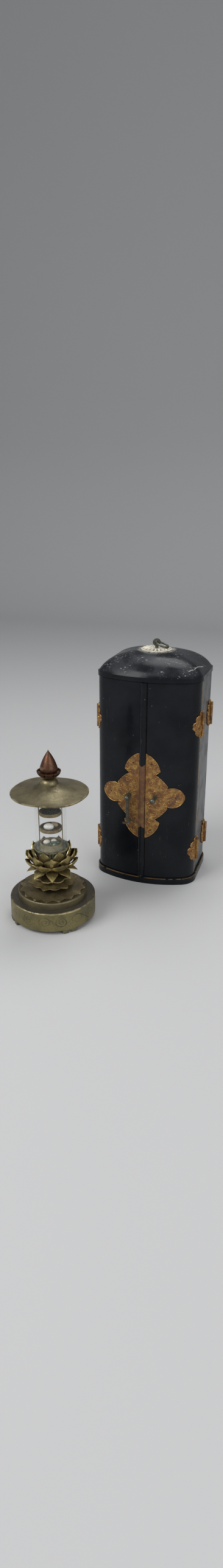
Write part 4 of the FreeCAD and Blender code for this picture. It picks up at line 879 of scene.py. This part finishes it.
def rimRuns(name):
    # the edge of a plate's front face, as chains of points
    shape = bmesh.new()
    shape.from_mesh(nodes[name].data)
    bmesh.ops.remove_doubles(shape, verts=shape.verts, dist=rimEdge["weld"])
    proud = {v.index: rimEdge["least"] < outside(v.co) < rimEdge["most"] for v in shape.verts}
    links = {}
    for edge in shape.edges:
        if len(edge.link_faces) != 2 or edge.calc_face_angle(0) < rimEdge["sharp"]:
            continue
        first, second = edge.verts
        if proud[first.index] and proud[second.index]:
            links.setdefault(first.index, []).append(second.index)
            links.setdefault(second.index, []).append(first.index)
    shape.verts.ensure_lookup_table()
    runs, used = [], set()
    ends = [spot for spot in links if len(links[spot]) != 2] + list(links)
    for start in ends:
        if start in used:
            continue
        run, spot = [], start
        while spot is not None:
            used.add(spot)
            run.append(shape.verts[spot].co.copy())
            spot = next((after for after in links[spot] if after not in used), None)
        if len(run) >= rimEdge["fewest"]:
            if (run[0] - run[-1]).length < rimEdge["close"]:
                run.append(run[0])
            runs.append(run)
    shape.free()
    return runs


plates = {
    # span along the wall from the front's middle, the body it rides on, the curls' spacing and size
    "left_lock_plate": {"span": (-47, -5), "body": "left_front", "pitch": 8.6, "size": 3.7},
    "right_lock_plate": {"span": (5, 47), "body": "right_front", "pitch": 8.6, "size": 3.7}}
for side, sign in (("left", -1), ("right", 1)):
    for name, low, high, body in (
            ("_front_hinge_leaf", 54, 67, side + "_front"), ("_front_hinge_side", 67.5, 81, side + "_side"),
            ("_rear_hinge_side", 100, 113, side + "_side"), ("_rear_hinge_back", 113.5, 127, "case_carcass")):
        plates[side + name] = {"span": tuple(sorted((sign * low, sign * high))), "body": body,
                               "pitch": 6.4, "size": 2.7}


curlGilt = rimPaint("curlGilt")


def plateOrnament(name, plate):
    # curls and a raised rim on one plate
    tree = solidTree(name)
    low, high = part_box(name)
    levels = (low.z / mm, high.z / mm)
    curls = scrollRuns(tree, plate["span"], levels, plate["pitch"], plate["size"])
    shape = wireMesh(name, curls, scrolls["wire"])
    newPiece(name + "_curls", shape, plate["body"], curlGilt)
    rim = wireMesh(name, rimRuns(name), scrolls["rim"])
    newPiece(name + "_rim", rim, plate["body"], curlGilt)


for name, plate in plates.items():
    plateOrnament(name, plate)
print("ornament of the plates done")
lockNails = {"level": 106, "spots": [(10, 38), (36.8, 0), (10, -39)], "size": 1.1 * mm, "rise": 0.6 * mm}
nailMetal = plainPaint("lockNail", copperLook)


def nailHeads(name, sign, body):
    # one round head in each lobe of the lock
    tree = solidTree(name)
    shape = bmesh.new()
    for along, up in lockNails["spots"]:
        spot = plateSpot(tree, sign * along, lockNails["level"] + up)
        out = skinSpot(sign * along)[1]
        place = Matrix.Translation(spot) @ out.to_track_quat("Z", "Y").to_matrix().to_4x4()
        place = place @ Matrix.Diagonal((lockNails["size"], lockNails["size"], lockNails["rise"], 1))
        bmesh.ops.create_uvsphere(shape, u_segments=16, v_segments=10, radius=1, matrix=place)
    newPiece(name + "_nails", shape, body, nailMetal)


nailHeads("left_lock_plate", -1, "left_front")
nailHeads("right_lock_plate", 1, "right_front")
print("small pieces done")

stage = {"floor": 9.0, "back": 1.6, "bend": 0.6, "high": 4.0, "steps": 12, "colour": (0.46, 0.46, 0.46),
         "second": (0.42, 0.42, 0.425)}


def backdrop():
    # a pale floor that bends up into a wall
    shape = bmesh.new()
    line = [(-stage["floor"], 0.0), (stage["back"], 0.0)]
    for number in range(1, stage["steps"] + 1):
        turn = math.pi / 2 * number / stage["steps"]
        line.append((stage["back"] + stage["bend"] * math.sin(turn),
                     stage["bend"] * (1 - math.cos(turn))))
    line.append((stage["back"] + stage["bend"], stage["high"]))
    row = [shape.verts.new((-stage["floor"], y, z)) for y, z in line]
    edges = [shape.edges.new(pair) for pair in zip(row, row[1:])]
    made = bmesh.ops.extrude_edge_only(shape, edges=edges)["geom"]
    bmesh.ops.translate(shape, verts=[v for v in made if isinstance(v, bmesh.types.BMVert)],
                        vec=(2 * stage["floor"], 0, 0))
    bmesh.ops.recalc_face_normals(shape, faces=shape.faces)
    mesh = bpy.data.meshes.new("floor")
    shape.to_mesh(mesh)
    shape.free()
    for face in mesh.polygons:
        face.use_smooth = True
    paint = Paint("paleFloor")
    tone = paint.mix(paint.noise(0.4, 2) * 0.3, stage["colour"], stage["second"])
    mesh.materials.append(paint.finish(Base_Color=tone, Roughness=0.75))
    floor = bpy.data.objects.new("floor", mesh)
    scene.collection.objects.link(floor)


backdrop()
lamps = {
    # place, aim, width and power of each soft box
    "keyLamp": {"place": (-0.75, -0.9, 1.15), "aim": (-0.03, -0.05, 0.12), "size": 0.8, "power": 15},
    "fillLamp": {"place": (1.0, -0.75, 0.7), "aim": (0, -0.05, 0.12), "size": 0.9, "power": 6},
    "topLamp": {"place": (0.05, 0.35, 1.3), "aim": (0, -0.03, 0.1), "size": 0.7, "power": 8}}
sky = {"Color": (0.9, 0.92, 0.95, 1), "Strength": 0.45}


def lights():
    for name, lamp in lamps.items():
        data = bpy.data.lights.new(name, "AREA")
        data.energy, data.size = lamp["power"], lamp["size"]
        light = bpy.data.objects.new(name, data)
        light.location = lamp["place"]
        ahead = Vector(lamp["aim"]) - Vector(lamp["place"])
        light.rotation_euler = ahead.to_track_quat("-Z", "Y").to_euler()
        scene.collection.objects.link(light)
    world = bpy.data.worlds.new("studio")
    world.use_nodes = True
    for key, what in sky.items():
        world.node_tree.nodes["Background"].inputs[key].default_value = what
    scene.world = world


lights()
lens = {"azimuth": 18, "elevation": 22, "distance": 0.78, "aim": (-0.033, -0.054, 0.118),
        "focal": 16.5, "sensor": 36, "near": 0.01}


def camera():
    turn, lift = math.radians(lens["azimuth"]), math.radians(lens["elevation"])
    back = Vector((math.sin(turn) * math.cos(lift), -math.cos(turn) * math.cos(lift), math.sin(lift)))
    data = bpy.data.cameras.new("camera")
    data.sensor_width, data.lens, data.clip_start = lens["sensor"], lens["focal"], lens["near"]
    view = bpy.data.objects.new("camera", data)
    view.location = Vector(lens["aim"]) + back * lens["distance"]
    view.rotation_euler = (-back).to_track_quat("-Z", "Y").to_euler()
    scene.collection.objects.link(view)
    scene.camera = view


camera()
print("stage, lamps and camera done")
